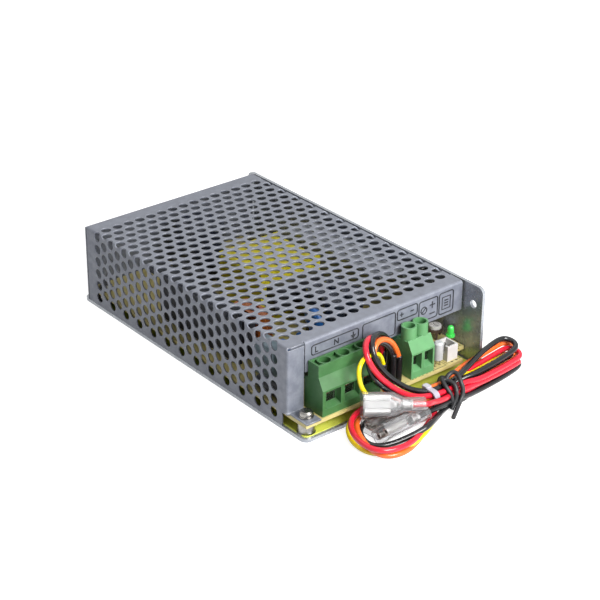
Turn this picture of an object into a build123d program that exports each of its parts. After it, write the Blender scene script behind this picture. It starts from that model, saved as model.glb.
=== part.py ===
from build123d import *
import math
import os

# Folded chassis: floor plate and right wall
body_length = 159.0
body_width = 97.0
body_height = 38.0
chassis_sheet = 1.5
chassis_bend = 2.0
corner_radius = 3.0
side_hole_radius = 1.8
side_hole_height = 29.0
side_hole_inset = 5.3
mount_hole_radius = 1.6
mount_spacing_x = 120.0
mount_spacing_y = 55.0
mount_pattern_y = 2.0

# Perforated cover, folded from one sheet
cover_sheet = 0.8
fold_radius = 1.2
side_clearance = 0.3
terminal_shelf = 11.3
rear_lip = 3.5
flange_height = 13.6
flange_end_gap = 0.5
corner_flange_width = 8.4
slit = 0.5
wall_foot_cutback = 3.5
turn_down = 7.5
turn_down_setback = 8.0
hole_pitch = 6.05
hole_radius = 2.25
hole_sides = 6
hole_columns = 25
hole_rows = 15
wall_rows = 6
hole_field_x = -3.45
hole_field_y = -1.05
wall_row_top = 2.1
cover_screw_x = 46.0
cover_screw_radius = 1.5
cover_screw_head = 2.8
cover_screw_length = 5.0

# Board, spacers and insulating sheet
standoff_height = 4.6
standoff_radius = 3.5
board_sheet = 1.6
board_gap = 0.4
board_front_inset = 0.9
board_rear_inset = 0.7
notch_length = 8.0
notch_width = 8.3
insulation_sheet_thickness = 0.4
insulation_inset = 1.5
tab_front_inset = 0.3
tab_side_inset = 0.4
front_screw_x = 74.0
rear_screw_x = -68.0
left_screw_y = -43.6
right_screw_y = 41.5
inner_screw_x = 44.5
screw_radius = 1.5
screw_fit = 0.05
edge_break = 0.35
screw_head_radius = 2.85
screw_head_height = 2.0
washer_radius = 3.1
washer_height = 0.8

# Screw terminals, shared by both blocks
block_front_inset = 1.6
block_rear_foot = 2.6
foot_height = 13.8
hood_drop = 5.1
hood_depth = 2.8
window_top = 10.9
sill_front = 3.2
sill_back = 4.5
sill_slope = 0.5
chamber_back = 3.1
chamber_depth = 5.4
chamber_top = 13.7
clamp_clearance = 0.3
clamp_base = 1.0
clamp_opening = 4.4
clamp_top = 2.0
clamp_travel = 2.5
contact_sheet = 0.8
contact_gap = 0.3
contact_drop = 3.4
terminal_thread = 1.5
thread_fit = 0.15
terminal_ledge = 1.0
terminal_head_height = 1.6
driver_slot_width = 0.6
driver_slot_depth = 0.6

# Three-pole input block
input_pole_pitch = 9.8
input_poles = 3
input_center_y = -23.0
input_end_wall = 0.7
input_rim = 0.9
input_height = 22.0
input_top_depth = 6.4
input_well_radius = 2.45
input_ring_radius = 3.2
input_pocket_depth = 3.0
input_window_width = 7.9
input_clamp_width = 6.6
input_bar_width = 4.0
input_head_radius = 2.2

# Two-pole output block
output_pole_pitch = 6.35
output_poles = 2
output_center_y = 15.6
output_height = 16.3
output_tower_top = 22.1
output_tower_radius = 3.25
output_well_radius = 2.5
output_window_width = 4.7
output_clamp_width = 4.6
output_bar_width = 2.6
output_head_radius = 2.1

# Small parts at the front edge
trimmer_x = 57.0
trimmer_y = 42.3
trimmer_base_radius = 3.4
trimmer_base_lift = 3.3
trimmer_base_thickness = 1.2
trimmer_rotor_radius = 2.7
trimmer_rotor_height = 1.3
trimmer_pivot_radius = 0.8
trimmer_slot_reach = 1.9
pivot_fit = 0.05
led_x = 66.5
led_y = 42.2
led_lift = 4.4
led_radius = 1.45
led_flange_radius = 1.95
led_flange_height = 1.0
led_height = 5.2
lead_thickness = 0.5
lead_pitch = 2.54
header_x = 72.8
header_y = 34.1
header_length = 7.2
header_width = 5.8
header_height = 7.0
header_wall = 0.7
header_floor = 1.6
header_pin_pitch = 2.5
header_pin_length = 4.6
header_slot_width = 3.6
fuse_x = 75.9
fuse_y = 26.0
fuse_radius = 2.15
fuse_lift = 2.6
fuse_height = 8.8

# Power components on the board
transformer_x = -11.0
transformer_y = 5.5
transformer_length = 42.0
transformer_width = 33.0
transformer_height = 25.3
core_thickness = 6.0
bobbin_flange = 1.4
bulk_capacitor_x = -56.0
bulk_capacitor_y = 1.0
bulk_capacitor_radius = 11.0
bulk_capacitor_height = 26.5
can_edge = 0.12
can_dimple = 0.78
can_dimple_depth = 0.3
output_capacitor_radius = 5.0
output_capacitor_height = 21.0
output_capacitor_x = 27.0
output_capacitor_y = 11.0
primary_sink_x = -4.0
primary_sink_y = -37.0
primary_sink_length = 56.0
sink_thickness = 2.0
sink_height = 26.5
sink_flange = 8.5
secondary_sink_x = 8.0
secondary_sink_y = 41.0
secondary_sink_length = 62.0
secondary_sink_flange = 15.0
transistor_width = 10.2
transistor_thickness = 4.6
transistor_height = 15.5
transistor_lift = 6.0
choke_x = 18.0
choke_y = -26.5
choke_radius = 7.8
choke_bore = 4.2
choke_height = 11.0
choke_lift = 6.5
choke_winding = 1.5
choke_gap_reach = 1.3
x_capacitor_x = 38.0
x_capacitor_y = -33.0
x_capacitor_length = 13.0
x_capacitor_width = 7.0
x_capacitor_height = 15.0
y_capacitor_x = 33.0
y_capacitor_y = -21.5
y_capacitor_pitch = 10.0
y_capacitor_radius = 5.0
y_capacitor_thickness = 3.4
bridge_x = -30.0
bridge_y = -24.0
bridge_length = 22.0
bridge_height = 17.0
bridge_thickness = 3.6
line_fuse_x = 52.0
line_fuse_y = -42.0
line_fuse_length = 20.0
line_fuse_radius = 2.6
thermistor_x = 52.0
thermistor_y = -24.0
thermistor_radius = 5.5
thermistor_thickness = 3.6
output_choke_x = 48.0
output_choke_y = 24.0
output_choke_radius = 8.0
output_choke_bore = 3.4
output_choke_height = 9.0
ring_edge = 0.2
film_capacitor_x = 47.0
film_capacitor_y = 5.0
film_capacitor_length = 13.0
film_capacitor_width = 6.0
film_capacitor_height = 12.0

# Output leads with their sleeves
lead_diameter = 2.4
thin_lead_diameter = 1.9
bend_share = 0.45
sleeve_radius = 1.55
sleeve_height = 10.5
red_pad = (71.4, -1.0)
black_pad = (71.4, 3.4)
orange_pad = (75.2, 5.6)
second_black_pad = (75.0, 1.2)
yellow_pad = (75.4, -3.0)

# Tied hank of leads lying in front of the shelf
left_lobe_center = (97.3, -11.5)
left_lobe_length = 56.0
left_lobe_width = 31.4
left_lobe_height = 6.5
left_lobe_turn = -5.0
left_hole_length = 42.0
left_hole_width = 19.4
right_lobe_center = (88.9, 42.5)
right_lobe_length = 50.0
right_lobe_width = 14.4
right_lobe_height = 10.5
right_lobe_turn = 9.5
right_hole_length = 30.0
right_hole_width = 2.6
waist_center = (91.5, 16.5)
waist_length = 21.0
waist_width = 10.6
waist_lift = 1.0
waist_height = 9.5
hank_rounding = 2.0
band_thickness = 0.8
band_fit = 0.1
cable_tie_y = 11.0
cable_tie_width = 3.4
twist_tie_y = 22.5
twist_tie_width = 3.0
twist_tail_height = 1.2
twist_tail_width = 2.0
twist_tails = ((10.0, -60.0), (15.0, -48.0))

# Booted spade connectors
boot_length = 13.0
boot_width = 9.2
boot_thickness = 5.0
boot_wall = 0.6
boot_neck_radius = 2.7
boot_neck_length = 8.0
boot_taper = 3.0
blade_width = 7.4
blade_thickness = 0.5
blade_roll_radius = 0.9
barrel_radius = 1.75
barrel_length = 7.0
red_boot_mouth = (82.6, -21.6, 12.4)
red_boot_along = (0.75, 0.66, 0.0)
red_boot_up = (0.47, -0.53, 0.71)
black_boot_offset = 4.4
black_boot_lift = 5.5
black_boot_tilt = 30.0
orange_boot_offset = 4.9

# Places that follow from the sizes above
x_front = body_length / 2
x_rear = -body_length / 2
y_left = -body_width / 2
y_right = body_width / 2
wall_inside = y_right - chassis_sheet
cover_front = x_front - terminal_shelf
cover_rear = x_rear + rear_lip
cover_right = wall_inside - side_clearance
board_bottom = chassis_sheet + standoff_height
board_top = board_bottom + board_sheet
board_front = x_front - board_front_inset
board_rear = cover_rear + cover_sheet + board_rear_inset
board_left = y_left + cover_sheet + board_gap
board_right = wall_inside - board_gap
flange_bottom = body_height - flange_height
flange_left = y_left + corner_flange_width + slit
block_front = x_front - block_front_inset
sleeve_top = board_top + sleeve_height


def block(x_span, y_span, z_span):
    """Upright box between two values on each axis."""
    size = [high - low for low, high in (x_span, y_span, z_span)]
    middle = [(high + low) / 2 for low, high in (x_span, y_span, z_span)]
    return Pos(*middle) * Box(*size)


def post(x, y, bottom, top, radius):
    """Upright cylinder standing at one place."""
    return Pos(x, y, (bottom + top) / 2) * Cylinder(radius, top - bottom)


def side_pin(x, z, near, far, radius):
    """Cylinder lying along Y."""
    return Pos(x, (near + far) / 2, z) * Rot(90, 0, 0) * Cylinder(radius, far - near)


def profile_along_y(points, y_span):
    """Outline in X and Z carried along Y."""
    outline = Plane.XZ * make_face(Polyline(*points, close=True))
    return Pos(0, y_span[1], 0) * extrude(outline, amount=y_span[1] - y_span[0])


def spacer_places():
    """Centres of the four spacers under the board."""
    return [
        (front_screw_x, left_screw_y),
        (rear_screw_x, left_screw_y),
        (rear_screw_x, right_screw_y),
        (inner_screw_x, right_screw_y),
    ]


def mount_places():
    """Centres of the four mounting holes in the floor plate."""
    return [
        (sx * mount_spacing_x / 2, mount_pattern_y + sy * mount_spacing_y / 2)
        for sx in (-1, 1)
        for sy in (-1, 1)
    ]


def cover_screw(clearance=0.0):
    """Countersunk screw through the right wall, head flush with its outer face."""
    head = Pos(0, y_right - chassis_sheet / 2, 0) * Rot(-90, 0, 0) * Cone(
        cover_screw_radius + clearance, cover_screw_head + clearance, chassis_sheet
    )
    tip = y_right - cover_screw_length
    shank = side_pin(0, 0, tip, wall_inside, cover_screw_radius + clearance)
    return head + shank


def cover_screw_places():
    """Rests of the two cover screws on the right wall."""
    height = body_height - turn_down / 2
    return [Pos(side * cover_screw_x, 0, height) for side in (-1, 1)]


def base_chassis():
    """Aluminium floor and right wall, one bent sheet."""
    floor = block((x_rear, x_front), (y_left, y_right), (0, chassis_sheet))
    wall = block((x_rear, x_front), (wall_inside, y_right), (0, body_height))
    sheet = floor + wall
    along = sheet.edges().filter_by(Axis.X)
    outer_bend = along.filter_by_position(Axis.Y, y_right, y_right).sort_by(Axis.Z)[0]
    sheet = fillet(outer_bend, chassis_bend)
    along = sheet.edges().filter_by(Axis.X)
    inner_bend = along.filter_by_position(Axis.Y, wall_inside, wall_inside).sort_by(Axis.Z)[0]
    sheet = fillet(inner_bend, chassis_bend - chassis_sheet)
    upright = sheet.edges().filter_by(Axis.Z)
    sheet = fillet(upright.group_by(Axis.Y)[0], corner_radius)
    across = sheet.edges().filter_by(Axis.Y)
    sheet = fillet(across.group_by(Axis.Z)[-1], corner_radius)
    sheet -= side_pin(
        x_front - side_hole_inset, side_hole_height, wall_inside - 1, y_right + 1, side_hole_radius
    )
    for x, y in mount_places():
        sheet -= post(x, y, -1, chassis_sheet + 1, mount_hole_radius)
    for place in cover_screw_places():
        sheet -= place * cover_screw(screw_fit)
    return sheet


def insulation_sheet():
    """Thin sheet between the floor and the board, cut out round spacers and mounting holes."""
    top = chassis_sheet + insulation_sheet_thickness
    sheet = block(
        (board_rear, x_front - insulation_inset),
        (board_left, board_right - chassis_bend + chassis_sheet),
        (chassis_sheet, top),
    )
    upright = sheet.edges().filter_by(Axis.Z)
    sheet = fillet(upright.group_by(Axis.Y)[0], corner_radius - 1)
    for x, y in spacer_places():
        sheet -= post(x, y, chassis_sheet - 1, top + 1, standoff_radius + board_gap)
    for x, y in mount_places():
        sheet -= post(x, y, chassis_sheet - 1, top + 1, 2 * mount_hole_radius)
    return sheet


def hole_cutter(depth):
    """Punch for one hole of the grille, as tall as given and centred on its face."""
    return extrude(RegularPolygon(hole_radius, hole_sides), amount=depth / 2, both=True)


def grille_cutters():
    """Staggered punches of the top and of the left wall, running on over the fold."""
    step = hole_pitch * math.sqrt(3) / 2
    top_cutter = hole_cutter(2 * fold_radius)
    wall_cutter = Rot(90, 0, 0) * hole_cutter(2 * fold_radius)
    cutters = []
    for column in range(hole_columns):
        x = hole_field_x + (column - (hole_columns - 1) / 2) * step
        shifted = column % 2
        rows = hole_rows + shifted
        for row in range(rows):
            y = hole_field_y + (row - (rows - 1) / 2) * hole_pitch
            cutters.append(Pos(x, y, body_height) * top_cutter)
        for row in range(wall_rows - shifted):
            z = body_height - wall_row_top - (row + shifted / 2) * hole_pitch
            cutters.append(Pos(x, y_left, z) * wall_cutter)
    return cutters


def cover_shell():
    """Box-shaped shell that the folded cover is trimmed from, open at the bottom."""
    outer = block((cover_rear, cover_front), (y_left, cover_right), (0, body_height))
    top_edges = outer.faces().sort_by(Axis.Z)[-1].edges()
    front_left = outer.edges().filter_by(Axis.Z).group_by(Axis.Y)[0].sort_by(Axis.X)[-1]
    outer = fillet([*top_edges, front_left], fold_radius)
    inner = block(
        (cover_rear + cover_sheet, cover_front - cover_sheet),
        (y_left + cover_sheet, cover_right - cover_sheet),
        (-1, body_height - cover_sheet),
    )
    top_edges = inner.faces().sort_by(Axis.Z)[-1].edges()
    front_left = inner.edges().filter_by(Axis.Z).group_by(Axis.Y)[0].sort_by(Axis.X)[-1]
    inner = fillet([*top_edges, front_left], fold_radius - cover_sheet)
    return outer - inner


def cover_trims():
    """Everything cut from the shell to leave flanges, slits and the short turn-down."""
    under_top = body_height - fold_radius
    front = (cover_front - fold_radius, cover_front + 1)
    foot = board_top
    below = (-1, chassis_sheet)
    return [
        block((cover_rear - 1, cover_front + 1), (y_left - 1, cover_right + 1), below),
        block(front, (flange_left - slit, flange_left), (-1, under_top)),
        block(front, (flange_left - slit, cover_right + 1), (-1, flange_bottom)),
        block(front, (cover_right - flange_end_gap, cover_right + 1), (-1, under_top)),
        block(
            (cover_front - wall_foot_cutback, cover_front + 1),
            (y_left - 1, flange_left),
            (-1, foot),
        ),
        block(
            (cover_rear - 1, cover_front + 1),
            (cover_right - cover_sheet, cover_right + 1),
            (-1, body_height - turn_down),
        ),
        block(
            (cover_front - turn_down_setback, cover_front + 1),
            (cover_right - cover_sheet, cover_right + 1),
            (-1, under_top),
        ),
        block(
            (cover_rear + cover_sheet, cover_rear + turn_down_setback),
            (cover_right - cover_sheet, cover_right + 1),
            (-1, under_top),
        ),
        block(
            (cover_rear + cover_sheet, cover_rear + cover_sheet + slit),
            (y_left - 1, y_left + cover_sheet),
            (-1, under_top),
        ),
    ]


def corner_tab():
    """Foot of the corner flange, folded forward over the board."""
    tab = block(
        (cover_front - cover_sheet, x_front - tab_front_inset),
        (y_left + tab_side_inset, flange_left - slit),
        (board_top, board_top + cover_sheet),
    )
    return tab


def cover():
    """Perforated top and left wall with flanges on three more sides, one folded sheet."""
    sheet = cover_shell()
    sheet -= cover_trims()
    sheet += corner_tab()
    hole_radius_in_tab = screw_radius + 2 * screw_fit
    sheet -= post(
        front_screw_x, left_screw_y, board_top - 1, board_top + cover_sheet + 1, hole_radius_in_tab
    )
    for place in cover_screw_places():
        sheet -= place * cover_screw(screw_fit)
    return sheet - grille_cutters()


def contact_slots():
    """Cuts in the board for the solder legs of both terminal blocks."""
    cuts = []
    for y in pole_places(input_poles, input_pole_pitch, input_center_y):
        cuts.append(leg_block(y, input_bar_width, board_gap / 2, board_bottom - 1, board_top + 1))
    for y in pole_places(output_poles, output_pole_pitch, output_center_y):
        cuts.append(leg_block(y, output_bar_width, board_gap / 2, board_bottom - 1, board_top + 1))
    return cuts


def pin_places():
    """Centres of the thin square leads that pass through the board."""
    header = [(header_x + side * header_pin_pitch / 2, header_y) for side in (-1, 1)]
    led = [(led_x, led_y + side * lead_pitch / 2) for side in (-1, 1)]
    fuse = [(fuse_x, fuse_y + side * lead_pitch / 2) for side in (-1, 1)]
    return header, led, fuse


def pcb():
    """Board with its notch at the right front corner."""
    board = block((board_rear, board_front), (board_left, board_right), (board_bottom, board_top))
    board -= block(
        (board_front - notch_length, board_front + 1),
        (board_right - notch_width, board_right + 1),
        (board_bottom - 1, board_top + 1),
    )
    for x, y in spacer_places():
        board -= post(x, y, board_bottom - 1, board_top + 1, screw_radius + 2 * screw_fit)
    for places in pin_places():
        for x, y in places:
            reach = lead_thickness / 2 + board_gap / 2
            board -= block((x - reach, x + reach), (y - reach, y + reach), (board_bottom - 1, board_top + 1))
    return board - contact_slots()


def standoffs():
    """Four swaged spacers that carry the board."""
    spacers = []
    for x, y in spacer_places():
        body = post(x, y, chassis_sheet, board_bottom, standoff_radius)
        bore = post(x, y, chassis_sheet, board_bottom, screw_radius + screw_fit)
        spacers.append(body - bore)
    return spacers


def board_screws():
    """Pan-head screws with washers, one on each spacer; the front left one clamps the tab."""
    screws = []
    for number, (x, y) in enumerate(spacer_places()):
        seat = board_top + (cover_sheet if number == 0 else 0)
        washer_top = seat + washer_height
        head = post(x, y, washer_top, washer_top + screw_head_height, screw_head_radius)
        head = chamfer(head.faces().sort_by(Axis.Z)[-1].edges(), screw_head_height * edge_break)
        washer = post(x, y, seat, washer_top, washer_radius)
        shank = post(x, y, chassis_sheet + 1, seat, screw_radius)
        screws.append(head + washer + shank)
    return screws


def cover_screws():
    """Two countersunk screws of the cover."""
    return [place * cover_screw() for place in cover_screw_places()]


def pole_places(poles, pitch, center):
    """Centre of each pole along the block."""
    return [center + (number - (poles - 1) / 2) * pitch for number in range(poles)]


chamber_front = block_front - chamber_back
chamber_rear = chamber_front - chamber_depth
screw_axis_x = (chamber_front + chamber_rear) / 2
clamp_bottom = board_top + sill_back - clamp_base
clamp_height = clamp_base + clamp_opening + clamp_top
bar_top = clamp_bottom + clamp_base + clamp_opening - contact_gap
leg_front = cover_front - contact_gap / 2


def leg_block(y, bar_width, gap, bottom, top):
    """Solder leg of one pole behind its clamp chamber, with a gap all round."""
    half = bar_width / 2 + gap
    return block((leg_front - contact_sheet - gap, leg_front + gap), (y - half, y + half), (bottom, top))


def terminal_contact(y, bar_width):
    """Current bar through the clamp and its solder leg, one bent strip."""
    half = bar_width / 2
    bar = block(
        (leg_front - contact_sheet, chamber_front - clamp_clearance),
        (y - half, y + half),
        (bar_top - contact_sheet, bar_top),
    )
    return bar + leg_block(y, bar_width, 0, board_bottom - contact_drop / 2, bar_top)


def terminal_clamp(y, clamp_width, bar_width):
    """Rising cage of one pole, threaded in its top."""
    half = clamp_width / 2
    front = chamber_front - clamp_clearance
    rear = chamber_rear + clamp_clearance
    top = clamp_bottom + clamp_height
    cage = block((rear, front), (y - half, y + half), (clamp_bottom, top))
    inside = (bar_width + clamp_width) / 4 + clamp_clearance / 4
    cage -= block(
        (rear - 1, front + 1),
        (y - inside, y + inside),
        (clamp_bottom + clamp_base, top - clamp_top),
    )
    return cage - post(screw_axis_x, y, top - clamp_top - 1, top + 1, terminal_thread + screw_fit)


def terminal_screw(y, head_radius):
    """Slotted screw of one pole: it turns in the ledge and draws the clamp up."""
    seat = board_top + chamber_top + terminal_ledge
    head = post(screw_axis_x, y, seat, seat + terminal_head_height, head_radius)
    head -= block(
        (screw_axis_x - head_radius - 1, screw_axis_x + head_radius + 1),
        (y - driver_slot_width / 2, y + driver_slot_width / 2),
        (seat + terminal_head_height - driver_slot_depth, seat + terminal_head_height + 1),
    )
    return head + post(screw_axis_x, y, bar_top + contact_gap / 2, seat, terminal_thread)


def hooded_block(height, top_back, y_span):
    """Outer form of a terminal block: low foot behind, sloping hood in front."""
    hood_front = block_front - hood_depth
    hood_top = board_top + height
    foot_back = cover_front - block_rear_foot + cover_sheet
    foot_top = board_top + foot_height
    points = [
        (foot_back, board_top),
        (block_front, board_top),
        (block_front, board_top + window_top + cover_sheet),
        (hood_front, board_top + window_top + cover_sheet + hood_drop),
        (hood_front, hood_top),
        (top_back, hood_top),
        (top_back, foot_top + 1),
        (foot_back, foot_top),
    ]
    return profile_along_y(points, y_span)


def pole_cavity(y, window_width, clamp_width, bar_width, well_radius, well_top):
    """Wire window with sloping sill, clamp chamber, contact slot and driver well of one pole."""
    half = window_width / 2
    window = profile_along_y(
        [
            (block_front + 1, board_top + sill_front - sill_slope),
            (block_front + 1, board_top + window_top),
            (chamber_front, board_top + window_top),
            (chamber_front, board_top + sill_back),
        ],
        (y - half, y + half),
    )
    room = clamp_width / 2 + clamp_clearance
    chamber = block(
        (chamber_rear, chamber_front),
        (y - room, y + room),
        (clamp_bottom - clamp_clearance, board_top + chamber_top),
    )
    ledge_hole = post(
        screw_axis_x,
        y,
        board_top + chamber_top - 1,
        board_top + chamber_top + terminal_ledge + 1,
        terminal_thread + thread_fit,
    )
    well = post(screw_axis_x, y, board_top + chamber_top + terminal_ledge, well_top + 1, well_radius)
    bar_slot = block(
        (leg_front - contact_sheet - contact_gap / 2, chamber_rear + 1),
        (y - bar_width / 2 - contact_gap / 2, y + bar_width / 2 + contact_gap / 2),
        (bar_top - contact_sheet, bar_top + contact_gap),
    )
    leg_slot = leg_block(y, bar_width, contact_gap / 2, board_top - 1, bar_top)
    return [window, chamber, ledge_hole, well, bar_slot, leg_slot]


def input_terminal_body():
    """Three-pole block with a hollow top and a ring round each driver well."""
    half = input_pole_pitch * input_poles / 2 + input_end_wall
    y_span = (input_center_y - half, input_center_y + half)
    hood_front = block_front - hood_depth
    top_back = hood_front - input_top_depth
    body = hooded_block(input_height, top_back, y_span)
    top = board_top + input_height
    middle_x = (top_back + hood_front) / 2
    body -= block(
        (top_back + input_rim, hood_front - input_rim),
        (y_span[0] + input_rim, y_span[1] - input_rim),
        (top - input_pocket_depth, top + 1),
    )
    for y in pole_places(input_poles, input_pole_pitch, input_center_y):
        ring = post(middle_x, y, top - input_pocket_depth, top, input_ring_radius)
        body += ring
    for y in pole_places(input_poles, input_pole_pitch, input_center_y):
        body -= pole_cavity(
            y, input_window_width, input_clamp_width, input_bar_width, input_well_radius, top
        )
    return body


def output_terminal_body():
    """Two-pole block with a tall round tower over each screw."""
    half = output_pole_pitch * output_poles / 2
    y_span = (output_center_y - half, output_center_y + half)
    hood_front = block_front - hood_depth
    body = hooded_block(output_height, cover_front + cover_sheet / 2, y_span)
    top = board_top + output_tower_top
    for y in pole_places(output_poles, output_pole_pitch, output_center_y):
        body += post(screw_axis_x, y, board_top + foot_height, top, output_tower_radius)
    for y in pole_places(output_poles, output_pole_pitch, output_center_y):
        body -= pole_cavity(
            y, output_window_width, output_clamp_width, output_bar_width, output_well_radius, top
        )
    return body


def trimmer_base():
    """Three-legged base plate of the trimmer with its pivot hole."""
    bottom = board_top + trimmer_base_lift
    plate = post(trimmer_x, trimmer_y, bottom, bottom + trimmer_base_thickness, trimmer_base_radius)
    plate -= post(
        trimmer_x, trimmer_y, bottom - 1, bottom + trimmer_base_thickness + 1, trimmer_pivot_radius + pivot_fit
    )
    reach = trimmer_base_radius - lead_thickness
    for angle in (90, 210, 330):
        x = trimmer_x + reach * math.cos(math.radians(angle))
        y = trimmer_y + reach * math.sin(math.radians(angle))
        leg = Pos(x, y, 0) * Rot(0, 0, angle) * block(
            (-lead_thickness / 2, lead_thickness / 2),
            (-lead_thickness, lead_thickness),
            (board_top, bottom + trimmer_base_thickness / 2),
        )
        plate += leg
    return plate


def trimmer_rotor():
    """Turning disc of the trimmer with a cross slot and its pivot."""
    seat = board_top + trimmer_base_lift + trimmer_base_thickness + pivot_fit
    top = seat + trimmer_rotor_height
    disc = post(trimmer_x, trimmer_y, seat, top, trimmer_rotor_radius)
    disc += post(trimmer_x, trimmer_y, board_top + trimmer_base_lift, seat, trimmer_pivot_radius)
    depth = (top - driver_slot_depth, top + 1)
    for reach_x, reach_y in (
        (trimmer_slot_reach, driver_slot_width / 2),
        (driver_slot_width / 2, trimmer_slot_reach),
    ):
        disc -= block(
            (trimmer_x - reach_x, trimmer_x + reach_x),
            (trimmer_y - reach_y, trimmer_y + reach_y),
            depth,
        )
    return disc


def power_led():
    """Round-nosed lens with its flange."""
    bottom = board_top + led_lift
    shoulder = bottom + led_height - led_radius
    lens = post(led_x, led_y, bottom, shoulder, led_radius)
    lens += Pos(led_x, led_y, shoulder) * Sphere(led_radius)
    return lens + post(led_x, led_y, bottom, bottom + led_flange_height, led_flange_radius)


def square_leads(places, top):
    """Thin square leads from under the board up to the part they carry."""
    half = lead_thickness / 2
    bottom = board_bottom - contact_drop / 2
    return [block((x - half, x + half), (y - half, y + half), (bottom, top)) for x, y in places]


def led_leads():
    """Two leads of the indicator."""
    return square_leads(pin_places()[1], board_top + led_lift)


def header_shell():
    """Open two-pin header with a keyed left wall."""
    half_x = header_length / 2
    half_y = header_width / 2
    top = board_top + header_height
    shell = block(
        (header_x - half_x, header_x + half_x), (header_y - half_y, header_y + half_y), (board_top, top)
    )
    shell -= block(
        (header_x - half_x + header_wall, header_x + half_x - header_wall),
        (header_y - half_y + header_wall, header_y + half_y - header_wall),
        (board_top + header_floor, top + 1),
    )
    shell -= block(
        (header_x - header_slot_width / 2, header_x + header_slot_width / 2),
        (header_y - half_y - 1, header_y - half_y + header_wall),
        (board_top + 2 * header_floor, top + 1),
    )
    reach = lead_thickness / 2
    for x, y in pin_places()[0]:
        shell -= block((x - reach, x + reach), (y - reach, y + reach), (board_top - 1, top))
    return shell


def header_pins():
    """Two square pins of the header."""
    return square_leads(pin_places()[0], board_top + header_floor + header_pin_length)


def battery_fuse():
    """Sleeved radial part standing beside the output block."""
    bottom = board_top + fuse_lift
    body = post(fuse_x, fuse_y, bottom, bottom + fuse_height, fuse_radius)
    return chamfer(body.edges().filter_by(GeomType.CIRCLE), fuse_radius * edge_break)


def fuse_leads():
    """Two leads of the sleeved radial part."""
    return square_leads(pin_places()[2], board_top + fuse_lift)


def transformer_core():
    """Ferrite ring of the two joined E halves, round the winding."""
    half_x = transformer_length / 2
    half_y = transformer_width / 2 - core_thickness / 2
    bottom = board_top + bobbin_flange
    top = board_top + transformer_height
    core = block(
        (transformer_x - half_x, transformer_x + half_x),
        (transformer_y - half_y, transformer_y + half_y),
        (bottom + core_thickness, top - core_thickness),
    )
    core -= block(
        (transformer_x - half_x + core_thickness, transformer_x + half_x - core_thickness),
        (transformer_y - half_y - 1, transformer_y + half_y + 1),
        (bottom, top),
    )
    middle = block(
        (transformer_x - half_x, transformer_x + half_x),
        (transformer_y - core_thickness, transformer_y + core_thickness),
        (bottom + core_thickness, top - core_thickness),
    )
    return core + middle


def transformer_winding():
    """Bobbin and taped winding with the ferrite's middle leg through it."""
    half_x = transformer_length / 2 - core_thickness
    half_y = transformer_width / 2
    top = board_top + transformer_height
    body = block(
        (transformer_x - half_x, transformer_x + half_x),
        (transformer_y - half_y, transformer_y + half_y),
        (board_top, top),
    )
    body = fillet(body.edges().filter_by(Axis.X), core_thickness / 2)
    for side in (-1, 1):
        outer = transformer_x + side * half_x
        body += block(
            (min(outer, outer - side * bobbin_flange), max(outer, outer - side * bobbin_flange)),
            (transformer_y - half_y, transformer_y + half_y),
            (board_top, top),
        )
    return body - block(
        (transformer_x - half_x - 1, transformer_x + half_x + 1),
        (transformer_y - core_thickness, transformer_y + core_thickness),
        (board_top + bobbin_flange + core_thickness, top - core_thickness),
    )


def can(x, y, radius, height):
    """Radial electrolytic standing on the board, with rolled shoulder and sunk top."""
    top = board_top + height
    body = post(x, y, board_top, top, radius)
    rim = body.faces().sort_by(Axis.Z)[-1].edges()
    body = chamfer(rim, radius * can_edge)
    return body - post(x, y, top - can_dimple_depth, top + 1, radius * can_dimple)


def bulk_capacitor():
    """High-voltage electrolytic at the rear left."""
    return can(bulk_capacitor_x, bulk_capacitor_y, bulk_capacitor_radius, bulk_capacitor_height)


def output_capacitors():
    """Four low-voltage electrolytics in a square."""
    step = 2 * output_capacitor_radius + board_gap
    return [
        can(
            output_capacitor_x + column * step,
            output_capacitor_y + row * step,
            output_capacitor_radius,
            output_capacitor_height,
        )
        for column in (-0.5, 0.5)
        for row in (-0.5, 0.5)
    ]


def heatsink(x, y, length, flange, side):
    """Upright aluminium plate with its top folded over towards one side."""
    half = length / 2
    top = board_top + sink_height
    inner = y + side * sink_thickness
    plate = block((x - half, x + half), (min(y, inner), max(y, inner)), (board_top, top))
    reach = y + side * flange
    fold = block((x - half, x + half), (min(y, reach), max(y, reach)), (top - sink_thickness, top))
    return plate + fold


def primary_heatsink():
    """Sink of the switching transistor along the left wall."""
    return heatsink(primary_sink_x, primary_sink_y, primary_sink_length, sink_flange, -1)


def secondary_heatsink():
    """Sink of the output rectifier along the right wall."""
    return heatsink(secondary_sink_x, secondary_sink_y, secondary_sink_length, secondary_sink_flange, -1)


def power_package(x, y, side):
    """Moulded three-lead package bolted flat against a sink."""
    half = transistor_width / 2
    far = y + side * transistor_thickness
    bottom = board_top + transistor_lift
    body = block((x - half, x + half), (min(y, far), max(y, far)), (bottom, bottom + transistor_height))
    for step in (-1, 0, 1):
        center = x + step * lead_pitch
        lead_y = y + side * transistor_thickness / 2
        body += block(
            (center - lead_thickness, center + lead_thickness),
            (lead_y - lead_thickness / 2, lead_y + lead_thickness / 2),
            (board_top, bottom),
        )
    return body


def primary_transistor():
    """Switching transistor on the inner face of the left sink."""
    return power_package(primary_sink_x - transistor_width, primary_sink_y, 1)


def secondary_rectifier():
    """Output rectifier on the outer face of the right sink."""
    return power_package(secondary_sink_x, secondary_sink_y, 1)


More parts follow.
